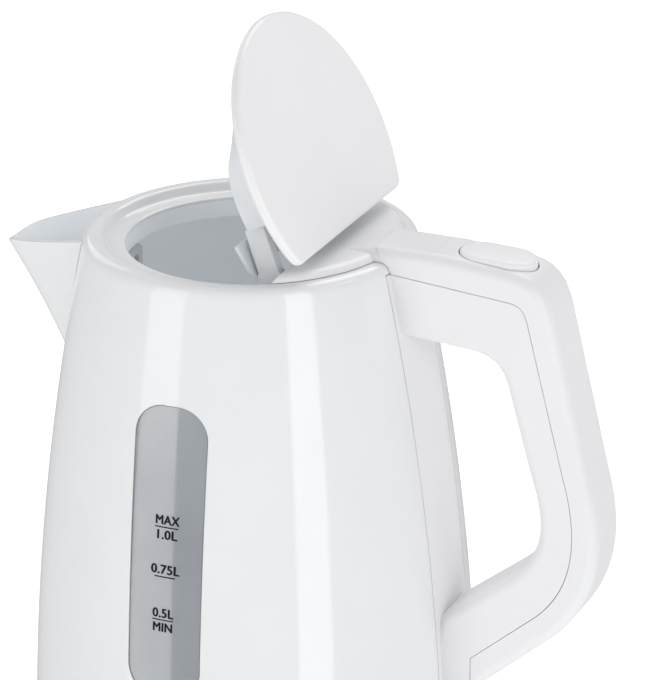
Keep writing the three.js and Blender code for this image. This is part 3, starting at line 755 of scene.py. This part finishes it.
def print_text(text, x, z, widen):
    """Letters as one thin solid, thickened by shifted copies and bent round the window."""
    curve = bpy.data.curves.new("letters", "FONT")
    curve.body = text
    curve.align_x = "CENTER"
    curve.size = TEXT_HEIGHT / CAP_SHARE
    curve.resolution_u = 6
    curve.extrude = INK_HALF
    curve.space_character = 1.05
    outline = link_object("letters", curve)
    mesh = evaluated(outline)
    bpy.data.objects.remove(outline)
    weld = bmesh.new()
    weld.from_mesh(mesh)
    bmesh.ops.remove_doubles(weld, verts=weld.verts, dist=1e-4)
    weld.to_mesh(mesh)
    weld.free()
    letters = link_object("letters", mesh)
    for dx, dy in [(0.17, 0.0), (-0.17, 0.0), (0.0, 0.1), (0.0, -0.07)]:
        copy = link_object("letters", mesh.copy())
        copy.data.transform(Matrix.Translation((dx, dy, 0)))
        union(letters, copy)
    for v in letters.data.vertices:
        v.co = on_window(x + v.co.x * widen, z + v.co.y, INK_LIFT + v.co.z)
    return letters


def print_line(x0, x1, z):
    half = 0.2
    low, high = INK_LIFT - INK_HALF, INK_LIFT + INK_HALF
    corners = [(-half, low), (half, low), (half, high), (-half, high)]
    return loft([
        [on_window(x, z + dz, lift) for dz, lift in corners] for x in levels(x0, x1, 10)
    ])


TEXT_HEIGHT = 3.2
CAP_SHARE = 0.72  # height of a capital as a share of the font's size
INK_LIFT = 0.05  # middle of the ink above the pane
INK_HALF = 0.03
MARKS = [
    ("MAX", 0.23, 111.6, 0.9, "print_max"),
    ("1.0L", -0.05, 106.5, 1.02, "print_one_litre"),
    ("0.75L", 0.0, 94.4, 1.01, "print_three_quarters"),
    ("0.5L", -0.4, 79.0, 0.96, "print_half"),
    ("MIN", -0.4, 74.0, 0.9, "print_min"),
]
for text, x, z, widen, name in MARKS:
    place(print_text(text, x, z, widen), name, "jug", PRINT)
LINES = [
    (-4.2, 4.3, 110.6, "print_line_one_litre"),
    (-3.8, 3.7, 93.3, "print_line_three_quarters"),
    (-4.3, 3.5, 78.1, "print_line_half"),
]
for x0, x1, z, name in LINES:
    place(print_line(x0, x1, z), name, "jug", PRINT)


# ---------- spout ----------
def keel_x(z):
    """The spout's front edge."""
    h = max(z - KEEL_Z, -2)
    return -(66.5 + 0.4 * h + 0.0031 * h * h)


def beak_section(z, inset, count=36):
    """A parabola that opens towards the jug."""
    bow = SPOUT_SPREAD * SPOUT_SPREAD
    keel = keel_x(z)
    near = []
    for y in levels(0, SPOUT_SPREAD * math.sqrt(SPOUT_ROOT_X - keel), count)[1:]:
        length = math.hypot(1, 2 * y / bow)
        near.append((keel + y * y / bow + inset / length, y - inset * (2 * y / bow) / length))
    near.append((SPOUT_ROOT_X + 10, near[-1][1]))
    near.reverse()
    return near + [(keel + inset, 0)] + [(x, -y) for x, y in reversed(near)]


def beak(inset):
    zs = levels(KEEL_Z - 2, 190, 60)
    return loft([[(x, y, z) for x, y in beak_section(z, inset)] for z in zs])


def above_rim():
    """Everything above the rim line: a curved lip at the tip, then straight to the jug."""
    def from_tip(run, rise):
        return (SPOUT_TIP_X + run, SPOUT_TIP_Z + rise)

    lip = from_tip(*SPOUT_LIP)
    line = [from_tip(-20, -9), from_tip(0, 0)]
    line += bezier(from_tip(0, 0), from_tip(1.5, 1.3), (lip[0] - 2.5, lip[1] - 0.75), lip, 10)
    inside_x = -30
    line.append((inside_x, lip[1] + (inside_x - lip[0]) * SPOUT_RIM_SLOPE))
    return slab(line + [(inside_x, 230), (SPOUT_TIP_X - 20, 230)], -60, 60)


spout = cut(beak(0), beak(SPOUT_WALL), filled_jug(0.06), above_rim())
shade(spout, 35)
place(spout, "beak_spout", "jug", GLOSS, ["spout"])
# The spout's inner faces take the inner material, which has a painted glow in place of light
# through the wall.
spout.data.materials.append(PAINTED_GLOW_INNER)
for face in spout.data.polygons:
    if face.normal.y * face.center.y < 0 and abs(face.normal.z) < 0.6:
        face.material_index = 1


# ---------- handle ----------
def handle_line(kind, count=24):
    """(x, z) points down the handle: its outside, the seam between its halves, or its inside."""
    if kind == "outer":
        line = [(50, 196.9), (62, 196.85), (76, 196.7), (87, 195.7), (98, 194.6)]
        line += bezier((98, 194.6), (109, 193.5), (112, 186), (113.9, 178), count)
        line += [(120.6, 150), (127.4, 121.5)]
        line += bezier((127.4, 121.5), (133.5, 100), (131, 80), (115.3, 64.8), count)
        line += [(100, 51.5), (84.4, 38)]
    elif kind == "seam":
        line = [(50, 189), (98, 184.6)]
        line += bezier((98, 184.6), (102.5, 184.1), (103.7, 182.5), (105, 178), 10)
        line += [(111.7, 151.2), (118.5, 124.5)]
        line += bezier((118.5, 124.5), (124.5, 104), (123.5, 85), (109.4, 72.2), count)
        line += [(86, 52.6)]
    else:
        line = [(50, 167.2), (67, 165.9), (84, 164.6)]
        line += bezier((84, 164.6), (93, 163.8), (96, 160), (98, 152), count)
        line += [(102.1, 137), (106.3, 122)]
        line += bezier((106.3, 122), (112.5, 103), (110.5, 93.5), (97.2, 83.2), count)
        line += [(86, 74.5), (74, 65.3)]
    return line


def beside(line, distance):
    """The line moved sideways, towards the finger gap for a positive distance."""
    moved = []
    for i, (x, z) in enumerate(line):
        x0, z0 = line[max(i - 1, 0)]
        x1, z1 = line[min(i + 1, len(line) - 1)]
        size = math.hypot(x1 - x0, z1 - z0)
        moved.append((x + (z1 - z0) / size * distance, z - (x1 - x0) / size * distance))
    return moved


outer_line = handle_line("outer")
seam_line = handle_line("seam")
inner_line = handle_line("inner")


def whole_handle():
    """The handle with rounded edges, before it is split along the seam."""
    outline = outer_line + [(78.6, 29.5), (66, 29.5)] + inner_line[::-1]
    return slab(outline, -HANDLE_HALF, HANDLE_HALF, HANDLE_ROUND, 10)


def outside_seam(shift):
    """Everything outside the seam; a positive shift moves its edge towards the finger gap."""
    edge = beside(seam_line, shift)[:-1]
    end_x = COVER_END_X - shift
    return slab(edge + [(end_x, 52.2), (end_x, 20), (160, 20), (160, 215), (50, 215)], -40, 40)


def make_grip():
    cavity_line = beside(seam_line, -1)[:-1] + beside(inner_line, -HANDLE_WALL)[1:-1][::-1]
    cavity = slab(cavity_line, -HOLLOW_HALF, HOLLOW_HALF)
    common(cavity, box([60.5, -20, 55], [200, 20, 200]))
    shell = cut(whole_handle(), outside_seam(SEAM / 2), cavity, filled_jug(GAP - STRIP_T))
    band = common(
        skin(0, STRIP_T, BODY_BOTTOM, STRIP_TOP),
        box([20, -STRIP_HALF, BODY_BOTTOM], [90, STRIP_HALF, STRIP_TOP]),
    )
    shelf_low = SPRING_SHELF_Z - 3
    shelf = box([86, -10, shelf_low], [95, 10, shelf_low + 1.8])
    seat = box([86, -8.4, shelf_low], [95, 8.4, SPRING_SHELF_Z])
    union(shell, band, shelf, seat)
    cut(shell, switch_slot(0), rod("z", [BUTTON_X, 0, SPRING_SHELF_Z], 2.4, 8))
    return shade(shell, 30)


place(make_grip(), "grip_shell", "jug", SATIN, ["handle_grip"])


def button_outline(inset, steps=20):
    return rounded_rect(
        BUTTON_FRONT + inset,
        -BUTTON_HALF + inset,
        BUTTON_REAR - inset,
        BUTTON_HALF - inset,
        BUTTON_HALF - inset - 0.01,
        steps,
    )


SADDLE_PROFILE = (
    [(0, LID_UNDER_Z), (RECESS_R - 0.4, LID_UNDER_Z), (50.2, 191.2), (51.7, 191.9), (51.7, 192.5)]
    + bezier((51.7, 192.5), (51.4, 193.6), (50.2, LID_TOP_Z + 0.1), (48, LID_TOP_Z + 0.1), 12)
    + [(0, LID_TOP_Z + 0.1)]
)


def pin_bore():
    return rod("y", [HINGE_X, 0, HINGE_Z], PIN_R + 0.05, 60)


foot_z = BODY_BOTTOM - 2
mouth_r = MOUTH_R - GAP
SADDLE_CLEARANCE = (
    [(r + GAP, z) for r, z in side_line]
    + [(r + GAP * 0.5, z + GAP * 0.5) for r, z in shoulder]
    + [(r - GAP * 0.3, z + GAP * 0.5) for r, z in rim[:20]]
    + [(mouth_r, 189.3), (mouth_r, 181), (50, 175), (50, foot_z)]
    + [(body_radius(BODY_BOTTOM) + GAP, foot_z)]
)


def make_cover():
    cover = common(whole_handle(), outside_seam(-SEAM / 2))
    saddle = lathe(SADDLE_PROFILE)
    nose = union(
        rod("y", [HINGE_X, 0, HINGE_Z], 9.7, 60, 160),
        box([HINGE_X - 2, -60, 180], [70, 60, 200]),
    )
    common(saddle, box([LID_CHORD_X + 0.9, -60, 180], [60, 60, 200]), nose)
    swell = [(30, 194.3)] + bezier((30, 194.3), (43, 194.6), (48, 196.5), (58, 196.85), 18)
    rise_line = swell + [(70, 196.8), (70, 188), (30, 186)]
    rise = slab(rise_line, -HANDLE_HALF, HANDLE_HALF, HANDLE_ROUND, 10)
    union(saddle, rise)
    union(cover, saddle)
    hollow_line = beside(outer_line, HANDLE_WALL)[:-1] + beside(seam_line, 1)[:-1][::-1]
    hollow = slab(hollow_line, -HOLLOW_HALF, HOLLOW_HALF)
    common(hollow, box([58.5, -20, 0], [200, 20, 200]))
    cut(cover, hollow, box([31, -26, 180], [43.5, 26, 192.4]))
    room = ARM_T / 2 + 0.8
    for top, limit in ((192.6, RECESS_R - 1.2), (190.2, None)):
        for y in (-ARM_Y, ARM_Y):
            pocket = box([20, y - room, 180], [43.5, y + room, top])
            if limit:
                common(pocket, rod("z", [0, 0, 186], limit, 8, 160))
            cut(cover, pocket)
    channel = box([40, -5.6, 181], [62, 5.6, 192.2])
    cut(cover, channel, plate(button_outline(-0.4), 180, 205), lathe(SADDLE_CLEARANCE))
    for side in (-1, 1):
        y = side * 28
        lug = box([32.8, y - 2, HINGE_Z - 3.2], [39.2, y + 2, 193])
        cut(lug, pin_bore())
        union(cover, lug)
    return shade(cover, 28)


place(make_cover(), "cover_shell", "jug", SATIN, ["handle_cover"])


def button_top(x):
    """The sloping top line of the button."""
    if x < 92:
        return 197.9 - (x - 70) * 0.032
    return 197.2 - (x - 92) * 0.089


def make_button():
    edge = 1.5
    rings = [[(x, y, 189.4) for x, y in button_outline(0)]]
    for inset, rise in quarter(edge, 8)[::-1]:
        rings.append([(x, y, button_top(x) - rise) for x, y in button_outline(inset)])
    for inset in (2.6, 4.0, 5.4, 6.8, 7.8):
        crown = 0.12 * min(1, (inset - edge) / 4)
        rings.append([(x, y, button_top(x) + crown) for x, y in button_outline(inset)])
    stem = loft(rings)
    cut(stem, plate(button_outline(1.8), 180, 193.2))
    plunger = rod("z", [BUTTON_X, 0, 189.6], 2, 4)
    wedge = box([80.6, -3, 186.6], [84, 3, 194])
    union(stem, plunger, wedge)
    return shade(stem, 40)


place(make_button(), "button_cap", "button", LID_WHITE, ["lid_button"])


def winding(turns, radius):
    """(across, across, along) points of a coil; the last runs from 0 to 1."""
    return [
        (radius * math.cos(2 * math.pi * t), radius * math.sin(2 * math.pi * t), t / turns)
        for t in levels(0, turns, 160)
    ]


SPRING_LOW, SPRING_HIGH = 186.3, 192.8
push = [
    (BUTTON_X + x, y, SPRING_LOW + (SPRING_HIGH - SPRING_LOW) * t) for x, y, t in winding(4, 3)
]
spring = shade(tube(push, 0.35), 60)
place(spring, "push_spring", "jug", STEEL, ["button_spring"])
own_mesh(spring)


# ---------- lid ----------
def lid_outline(inset, corner=4.2, count=150):
    """Round plate cut off by a straight chord, with rounded corners, moved inwards by inset."""
    radius = LID_R - inset
    chord = LID_CHORD_X - inset
    r = max(corner - inset, 0.4)
    centre_x = chord - r
    centre_y = math.sqrt((radius - r) ** 2 - centre_x ** 2)
    meet = math.atan2(centre_y, centre_x)
    outline = []
    for k in range(13):
        a = meet * k / 12
        outline.append((centre_x + r * math.cos(a), centre_y + r * math.sin(a)))
    for k in range(1, count):
        a = meet + (2 * math.pi - 2 * meet) * k / count
        outline.append((radius * math.cos(a), radius * math.sin(a)))
    for k in range(13):
        a = -meet + meet * k / 12
        outline.append((centre_x + r * math.cos(a), -centre_y + r * math.sin(a)))
    return outline


def make_lid():
    underside = [(2.6, LID_UNDER_Z), (2.3, LID_UNDER_Z), (2.0, 189.75)]
    rim_side = [(0.3, 191.3), (0.05, 191.7), (0, 192.1), (0, 192.8)]
    rings = [[(x, y, z) for x, y in lid_outline(inset)] for inset, z in underside + rim_side]
    edge, crown = 1.7, 1.0
    for inset, rise in quarter(edge, 9)[::-1]:
        rings.append([(x, y, LID_TOP_Z - rise) for x, y in lid_outline(inset)])
    full = np.array(lid_outline(edge))
    centre = np.array([-8.0, 0.0])
    for share in (0.93, 0.85, 0.75, 0.62, 0.48, 0.34, 0.2, 0.08):
        z = LID_TOP_Z + crown * (1 - share ** 2)
        rings.append([(x, y, z) for x, y in centre + (full - centre) * share])
    return shade(loft(rings), 40)


place(make_lid(), "lid_disc", "lid", LID_WHITE, ["lid_plate"], lid=True)


def spline(points, count):
    """Catmull-Rom through the points."""
    p = [np.array(q, float) for q in points]
    p = [2 * p[0] - p[1]] + p + [2 * p[-1] - p[-2]]
    out = [tuple(p[1])]
    for i in range(1, len(p) - 2):
        for k in range(1, count + 1):
            t = k / count
            out.append(tuple(0.5 * (
                2 * p[i] + (p[i + 1] - p[i - 1]) * t
                + (2 * p[i - 1] - 5 * p[i] + 4 * p[i + 1] - p[i + 2]) * t * t
                + (3 * p[i] - p[i - 1] - 3 * p[i + 1] + p[i + 2]) * t ** 3
            )))
    return out


def pan_slab(lift):
    """Everything above the drum's curved underside."""
    low = spline([(-44, 187.6), (-22, 184.6), (-10, 180), (2, 178.6), (24, 177.4)], 10)
    return slab([(x, z + lift) for x, z in low] + [(24, 200), (-44, 200)], -60, 60)


def pan_rear(inset):
    """Plan of the drum's rear, which narrows between the hinge arms."""
    return union(
        box([-60, -60, 160], [10.4 - inset, 60, 200]),
        box([-20, -28 + inset, 160.5], [22 - inset, 28 - inset, 199.5]),
    )


def make_pan():
    def layer(inset, low, top):
        radius = PAN_R - inset
        disc = lathe([(0, low), (radius, low), (radius, top), (0, top)], 200)
        return common(disc, pan_slab(inset), pan_rear(inset))

    drum = cut(layer(0, 170, LID_UNDER_Z - GAP), layer(PAN_WALL, 160, 195))
    x = PAN_SCREW_X
    for y in PAN_SCREW_Y:
        union(drum, common(rod("z", [x, y, 184.4], 3.2, 4.9), pan_slab(0)))
        cut(drum, rod("z", [x, y, 184], 1.5, 12), rod("z", [x, y, 180.7], 2.9, 2.2))
    return shade(drum, 35)


place(make_pan(), "lid_drum", "lid", LINER, ["lid_pan"], lid=True)


def make_arm(side):
    """Goose-neck hinge arm with the flat tab that guides the lid into the mouth."""
    outline = [
        (6, 175.4), (11.5, 174.4), (27, 172.8), (32, 175), (36.6, 181.5),
        (38.2, 186.2), (38.2, 188), (37.4, 189.3), (36, 189.8), (34.6, 189.4),
        (32.4, 187), (30.8, 182.6), (27, 180.4), (12, 181.8), (6, 182.2),
    ]
    y, half = side * ARM_Y, ARM_T / 2
    arm = slab(outline, y - half, y + half, 0.35, 3)
    tab = [(14, 30.6), (28, 30.6), (28, 34), (24, 37), (14, 39.2)]
    guide = plate([(x, side * reach) for x, reach in tab], 171, 172.3, 0.25, 0.25, 3)
    web = box([26, y - half + 0.05, 171.2], [28, y + half - 0.05, 174])
    union(arm, guide, web)
    notch_y = sorted((side * 30.6, side * 31.3))
    drum_room = common(
        rod("z", [0, 0, 180], PAN_R + 0.2, 20, 160), box([-60, -60, 150], [10.7, 60, 210])
    )
    cut(arm, box([12, notch_y[0], 172], [25.8, notch_y[1], 173.2]), drum_room, pin_bore())
    return shade(arm, 35)


place(make_arm(-1), "arm_near", "lid", LINER, ["lid_arm_near"], lid=True)
place(make_arm(1), "arm_far", "lid", LINER, ["lid_arm_far"], lid=True)


# ---------- hinge and filter ----------
def polar(radius, degrees):
    return (radius * math.cos(math.radians(degrees)), radius * math.sin(math.radians(degrees)))


def gather(pieces):
    """Many separate closed pieces as one object."""
    verts, faces = [], []
    for piece in pieces:
        base = len(verts)
        verts += [tuple(v.co) for v in piece.data.vertices]
        faces += [[base + i for i in face.vertices] for face in piece.data.polygons]
        bpy.data.objects.remove(piece)
    return new_object(verts, faces)


pin = shade(rod("y", [HINGE_X, 0, HINGE_Z], PIN_R, 36, 48, 0.4), 40)
place(pin, "hinge_rod", "jug", STEEL, ["hinge_pin"])
coil = [(HINGE_X + x, 8 + 8 * t, HINGE_Z + z) for x, z, t in winding(4, 2.9)]
place(shade(tube(coil, 0.45), 60), "hinge_coil", "jug", STEEL, ["lid_spring"])

FILTER_X, FILTER_HALF, FILTER_LOW, FILTER_HIGH = -52.5, 16, 153, 174.9


def filter_outline(inset, corner):
    half = FILTER_HALF - inset
    return rounded_rect(-half, FILTER_LOW + inset, half, FILTER_HIGH - inset, corner, 6)


def make_filter_frame():
    rim = panel(filter_outline(0, 1.6), FILTER_X, FILTER_X + 3.5, 0.5)
    cut(rim, panel(filter_outline(3, 1.2), FILTER_X - 1, FILTER_X + 5))
    tab = box([FILTER_X + 3, -5, FILTER_HIGH - 3], [FILTER_X + 6, 5, FILTER_HIGH + 1.5], 0.5)
    return shade(union(rim, tab), 35)


def make_filter_mesh():
    sheet = panel(filter_outline(3.3, 1), FILTER_X + 1.5, FILTER_X + 2.3)
    holes = [
        rod("x", [FILTER_X + 2, y, z], 0.5, 1.5, 10)
        for y in levels(-11.2, 11.2, 14)
        for z in levels(FILTER_LOW + 4.9, FILTER_HIGH - 4.9, 8)
    ]
    return shade(cut(sheet, gather(holes)), 35)


place(make_filter_frame(), "filter_rim", "filter", LINER, ["filter_frame"])
place(make_filter_mesh(), "filter_mesh", "filter", GREY, ["filter_sheet"])


# ---------- screws ----------
def make_screw(x, y, head_z, length, head_r=2.6, shank_r=1.2):
    """Pan head with a cross slot at head_z and a pointed shank above it."""
    dome = bezier((head_r, 0.8), (head_r, 0.2), (head_r - 0.8, 0), (head_r - 1.4, 0), 6)
    head = lathe([(0, 1.4), (head_r, 1.4)] + dome + [(0, 0)], 48)
    low, top = 1.2, 1.2 + length
    union(head, lathe([(0, low), (shank_r, low), (shank_r, top - 1), (0.4, top), (0, top)], 32))
    cut(head, box([-1.5, -0.3, -1], [1.5, 0.3, 0.6]), box([-0.3, -1.5, -1], [0.3, 1.5, 0.6]))
    head.data.transform(Matrix.Translation((x, y, head_z)))
    return shade(head, 35)


def cut_screw_holes(obj, spots, head_z):
    half = SCREW_LENGTH / 2
    for x, y in spots:
        cut(obj, rod("z", [x, y, head_z - 1], 3, 2.7, 40))
        cut(obj, rod("z", [x, y, head_z + 1.2 + half], 1.6, half + 0.6, 24))


BOTTOM_SCREWS = [polar(52, angle) for angle in (60, 180, 300)]
BASE_SCREWS = [polar(40, angle) for angle in (0, 120, 240)]
FEET = [polar(62, angle) for angle in (60, 180, 300)]
PAN_SCREWS = [(PAN_SCREW_X, y) for y in PAN_SCREW_Y]
BOTTOM_SCREW_Z = 20.4
BASE_SCREW_Z = 0.9
SCREW_LENGTH = 8
SCREW_SETS = [
    ("drum_screw", "pan_screw", "lid", PAN_SCREWS, 181.2, 5.6),
    ("cover_screw", "bottom_screw", "jug", BOTTOM_SCREWS, BOTTOM_SCREW_Z, SCREW_LENGTH),
    ("plate_screw", "base_screw", "base", BASE_SCREWS, BASE_SCREW_Z, SCREW_LENGTH),
]
for name, node, body, spots, z, length in SCREW_SETS:
    for i, (x, y) in enumerate(spots, 1):
        piece = make_screw(x, y, z, length)
        place(piece, f"{name}_{i}", body, STEEL, [f"{node}_{i}"], lid=body == "lid")


# ---------- jug's floor and underside ----------
def turned(profile, segments=192):
    return shade(lathe(profile, segments), 30, [profile])


plate_section = (  # heights from the plate's top face
    [(0, -1.2), (69.7, -1.2), (70.1, -0.9)]
    + bezier((70.1, -0.5), (70.1, -0.1), (69.9, 0), (69.5, 0), 4)
    + [(66, 0)]
    + bezier((66, 0), (65, 0), (65, -0.5), (64, -0.5), 6)
    + bezier((64, -0.5), (63, -0.5), (63, 0), (62, 0), 6)
    + [(30, -0.05), (0, -0.1)]
)
plate_line = [(r, FLOOR_Z + z) for r, z in plate_section]
place(turned(plate_line), "heating_disc", "jug", STEEL, ["heating_plate"])
seal_low, seal_side, seal_top = SHELF_Z + GAP, FLOOR_Z + 0.4, FLOOR_Z + 1
seal_line = (
    [(70.5, seal_low), (73.2, seal_low), (73.2, seal_side)]
    + bezier((73.2, seal_side), (73.2, seal_top), (70.5, seal_top), (70.5, seal_side), 8)
)
place(turned(seal_line), "floor_seal", "jug", RUBBER, ["plate_seal"])

foot = BASE_TOP + GAP
skirt = (
    [(18.2, 20.4), (58.4, 20.4)]
    + bezier((58.4, 20.4), (59.6, 20.4), (59.2, foot), (61, foot), 8)
    + [(63, foot)]
    + bezier((63, foot), (64.8, foot), (64.4, 20.4), (65.6, 20.4), 8)
    + [(73.9, 20.4), (74.3, 20.8), (74.3, 22.6), (18.2, 22.6)]
)


def make_bottom():
    cover = lathe(skirt, 192)
    union(cover, *[rod("z", [x, y, 26], 3.6, 4, 40) for x, y in BOTTOM_SCREWS])
    cut_screw_holes(cover, BOTTOM_SCREWS, BOTTOM_SCREW_Z)
    cut(cover, switch_slot(GAP + 0.2))
    return shade(cover, 30, [skirt])


place(make_bottom(), "underside", "jug", GLOSS, ["bottom_cover"])
socket_line = [
    (12.4, 19.4), (17.2, 19.4), (17.8, 20), (17.8, 30), (16.4, 34),
    (15.8, 34.6), (0, 34.6), (0, 32.4), (11.9, 32.4), (11.9, 19.9),
]
place(turned(socket_line, 96), "socket_well", "socket", BLACK, ["kettle_socket"])


def make_lever():
    """Rocker with a pivot bore and four finger grooves across its paddle."""
    side = [
        (57, 25.8), (67, 24.8), (80.6, 24.8), (93, 23.2), (94.2, 24.4),
        (93.4, 27.2), (82, 29.4), (67, 29.6), (57, 28.4),
    ]
    lever = slab(side, -7, 7, 0.9, 6)
    cut(lever, rod("y", [62, 0, 27.2], 1.25, 20, 40))
    for k in range(4):
        cut(lever, rod("y", [85 + 2 * k, 0, 29.7 - 0.36 * k], 0.7, 5.2, 20, 0.3))
    return shade(lever, 35)


place(make_lever(), "switch_paddle", "lever", GREY, ["switch_lever"])

# ---------- power base ----------
dish = BASE_TOP - 0.4  # the shallow dish under the jug
base_line = (
    [(73.3, 0.2), (74.5, 0.2)]
    + bezier((74.5, 0.2), (75.1, 0.2), (BASE_R, 0.6), (BASE_R, 1.4), 6)
    + [(BASE_R, 9.8)]
    + bezier((BASE_R, 9.8), (BASE_R, 13.5), (71.6, BASE_TOP), (66, BASE_TOP), 18)
    + [(57, BASE_TOP)]
    + bezier((57, BASE_TOP), (56.4, BASE_TOP), (56.4, dish), (55.8, dish), 4)
    + [(24.4, dish), (24, dish - 0.4), (24, 14.8), (65.4, 14.8), (70, 13.8), (73.3, 10.2)]
)


def make_base():
    shell = lathe(base_line, 240)
    union(shell, *[rod("z", [x, y, 10], 3.6, 5.2, 40) for x, y in BASE_SCREWS])
    cut_screw_holes(shell, BASE_SCREWS, BASE_SCREW_Z)
    cut(shell, rod("y", [0, 76, GLAND_Z], GLAND_R + GAP, 6, 64))
    return shade(shell, 30, [base_line])


place(make_base(), "base_shell", "base", GLOSS, ["base_cover"])


def make_base_plate():
    line = [(0, 0.0), (72.3, 0.0), (72.8, 0.5), (72.8, 2), (0, 2)]
    floor_plate = lathe(line, 192)
    cut(floor_plate, *[rod("z", [x, y, 0], 6.3, 1.2, 64) for x, y in FEET])
    cut_screw_holes(floor_plate, BASE_SCREWS, BASE_SCREW_Z)
    return shade(floor_plate, 30)


place(make_base_plate(), "base_floor", "base", SATIN, ["base_plate"])
collar = BASE_TOP + 1
post_line = (
    [(0, 2.3), (12, 2.3), (12, 14.5), (22, 14.5), (22, 2.3), (23.7, 2.3), (23.7, collar - 1.1)]
    + bezier((23.7, collar - 1.1), (23.6, collar - 0.5), (20, collar), (18.6, collar), 6)
    + bezier((18.6, collar), (13, collar + 0.2), (11.4, collar + 0.2), (11.4, collar + 2), 8)
    + [(11.4, 28.6)]
    + bezier((11.4, 28.6), (11.4, 29.8), (11, 30.4), (10, 30.4), 8)
    + [(9.3, 30.4), (9.3, 12), (7.7, 12), (7.7, 30.4), (5.5, 30.4)]
    + [(5.5, 12), (3.9, 12), (3.9, 30.4), (2.3, 30.4), (2.3, 18), (0, 18)]
)
place(turned(post_line, 128), "contact_post", "base", BLACK, ["base_connector"])


def make_gland():
    collar = rod("y", [0, 69.8, GLAND_Z], 5, 1.3, 64, 0.3)
    core = rod("y", [0, 73.4, GLAND_Z], GLAND_R, 2.8, 64, 0.5)
    return shade(cut(union(collar, core), rod("y", [0, 74, GLAND_Z], 2.6, 12, 48)), 35)


place(make_gland(), "cord_grommet", "base", RUBBER, ["cord_gland"])

# ---------- camera ----------
CAMERA_MM = Vector((532.56, -1158.79, 662.76))
AZIMUTH = math.radians(23.391)
TILT = math.radians(21.842)
ROLL = math.radians(-0.236)
ahead = math.cos(TILT)
forward = Vector((-math.sin(AZIMUTH) * ahead, math.cos(AZIMUTH) * ahead, -math.sin(TILT)))
right = Vector((math.cos(AZIMUTH), math.sin(AZIMUTH), 0))
up = right.cross(forward)
right, up = (
    right * math.cos(ROLL) + up * math.sin(ROLL),
    up * math.cos(ROLL) - right * math.sin(ROLL),
)
lens = bpy.data.cameras.new("camera")
lens.lens = 211.8
lens.sensor_width = 36
lens.clip_end = 50
camera = link_object("camera", lens)
turn = Matrix((right, up, -forward)).transposed().to_4x4()
camera.matrix_world = Matrix.Translation(CAMERA_MM * MM) @ turn
scene.camera = camera

# ---------- studio ----------
FLOOR_HALF = 12  # metres
floor_mesh = bpy.data.meshes.new("floor")
corners = [(-1, -1), (1, -1), (1, 1), (-1, 1)]
floor_mesh.from_pydata(
    [(x * FLOOR_HALF, y * FLOOR_HALF, 0) for x, y in corners], [], [[0, 1, 2, 3]]
)
floor = link_object("floor", floor_mesh)
floor_mat, floor_tree, floor_shader = material("floor_paint")
paint = cloudy(
    floor_tree, noise(floor_tree, 3, 3, 0.5), (0.93, 0.93, 0.93), (0.915, 0.915, 0.915), 0.3, 0.7
)
floor_tree.links.new(paint, floor_shader.inputs["Base Color"])
set_values(floor_shader, Roughness=0.8, Emission_Color=(1, 1, 1, 1), Emission_Strength=0.36)
floor.visible_glossy = False
floor_mesh.materials.append(floor_mat)

# The world lights the object softly and shows as a plain bright backdrop.
world = bpy.data.worlds.new("studio")
world.use_nodes = True
sky = world.node_tree
seen = sky.nodes.new("ShaderNodeLightPath")
choose = sky.nodes.new("ShaderNodeMixShader")
sky.links.new(seen.outputs["Is Camera Ray"], choose.inputs[0])
backgrounds = [sky.nodes["Background"], sky.nodes.new("ShaderNodeBackground")]
for socket, (background, strength) in enumerate(zip(backgrounds, (0.5, 0.92)), 1):
    set_values(background, Color=(0.98, 0.985, 1.0, 1), Strength=strength)
    sky.links.new(background.outputs[0], choose.inputs[socket])
sky.links.new(choose.outputs[0], sky.nodes["World Output"].inputs["Surface"])
scene.world = world


def area_light(name, place_at, aim, width, height, power):
    data = bpy.data.lights.new(name, "AREA")
    data.shape = "RECTANGLE"
    data.size = width
    data.size_y = height
    data.energy = power
    obj = link_object(name, data)
    obj.location = place_at
    obj.visible_camera = False
    obj.rotation_euler = (Vector(aim) - Vector(place_at)).to_track_quat("-Z", "Y").to_euler()


def around(azimuth, distance, z):
    """A place at an azimuth in degrees from the handle's side, in metres."""
    a = math.radians(azimuth)
    return (distance * math.cos(a), distance * math.sin(a), z)


area_light("overhead", (0.0, 0.95, 1.35), (0, 0, 0.15), 0.9, 0.9, 8)
area_light("left_soft", around(-121, 1.6, 0.2), (0, 0, 0.2), 0.68, 2.4, 10)
area_light("back_left", around(150, 1.5, 0.95), (0, 0, 0.19), 0.9, 0.9, 3)
area_light("back_right", around(14, 1.3, 1.3), (0, 0, 0.19), 0.3, 0.3, 1.0)
area_light("right_strip", around(-35, 1.6, 0.2), (0, 0, 0.2), 0.5, 2.4, 11)

scene.view_settings.view_transform = "Standard"
scene.view_settings.look = "None"
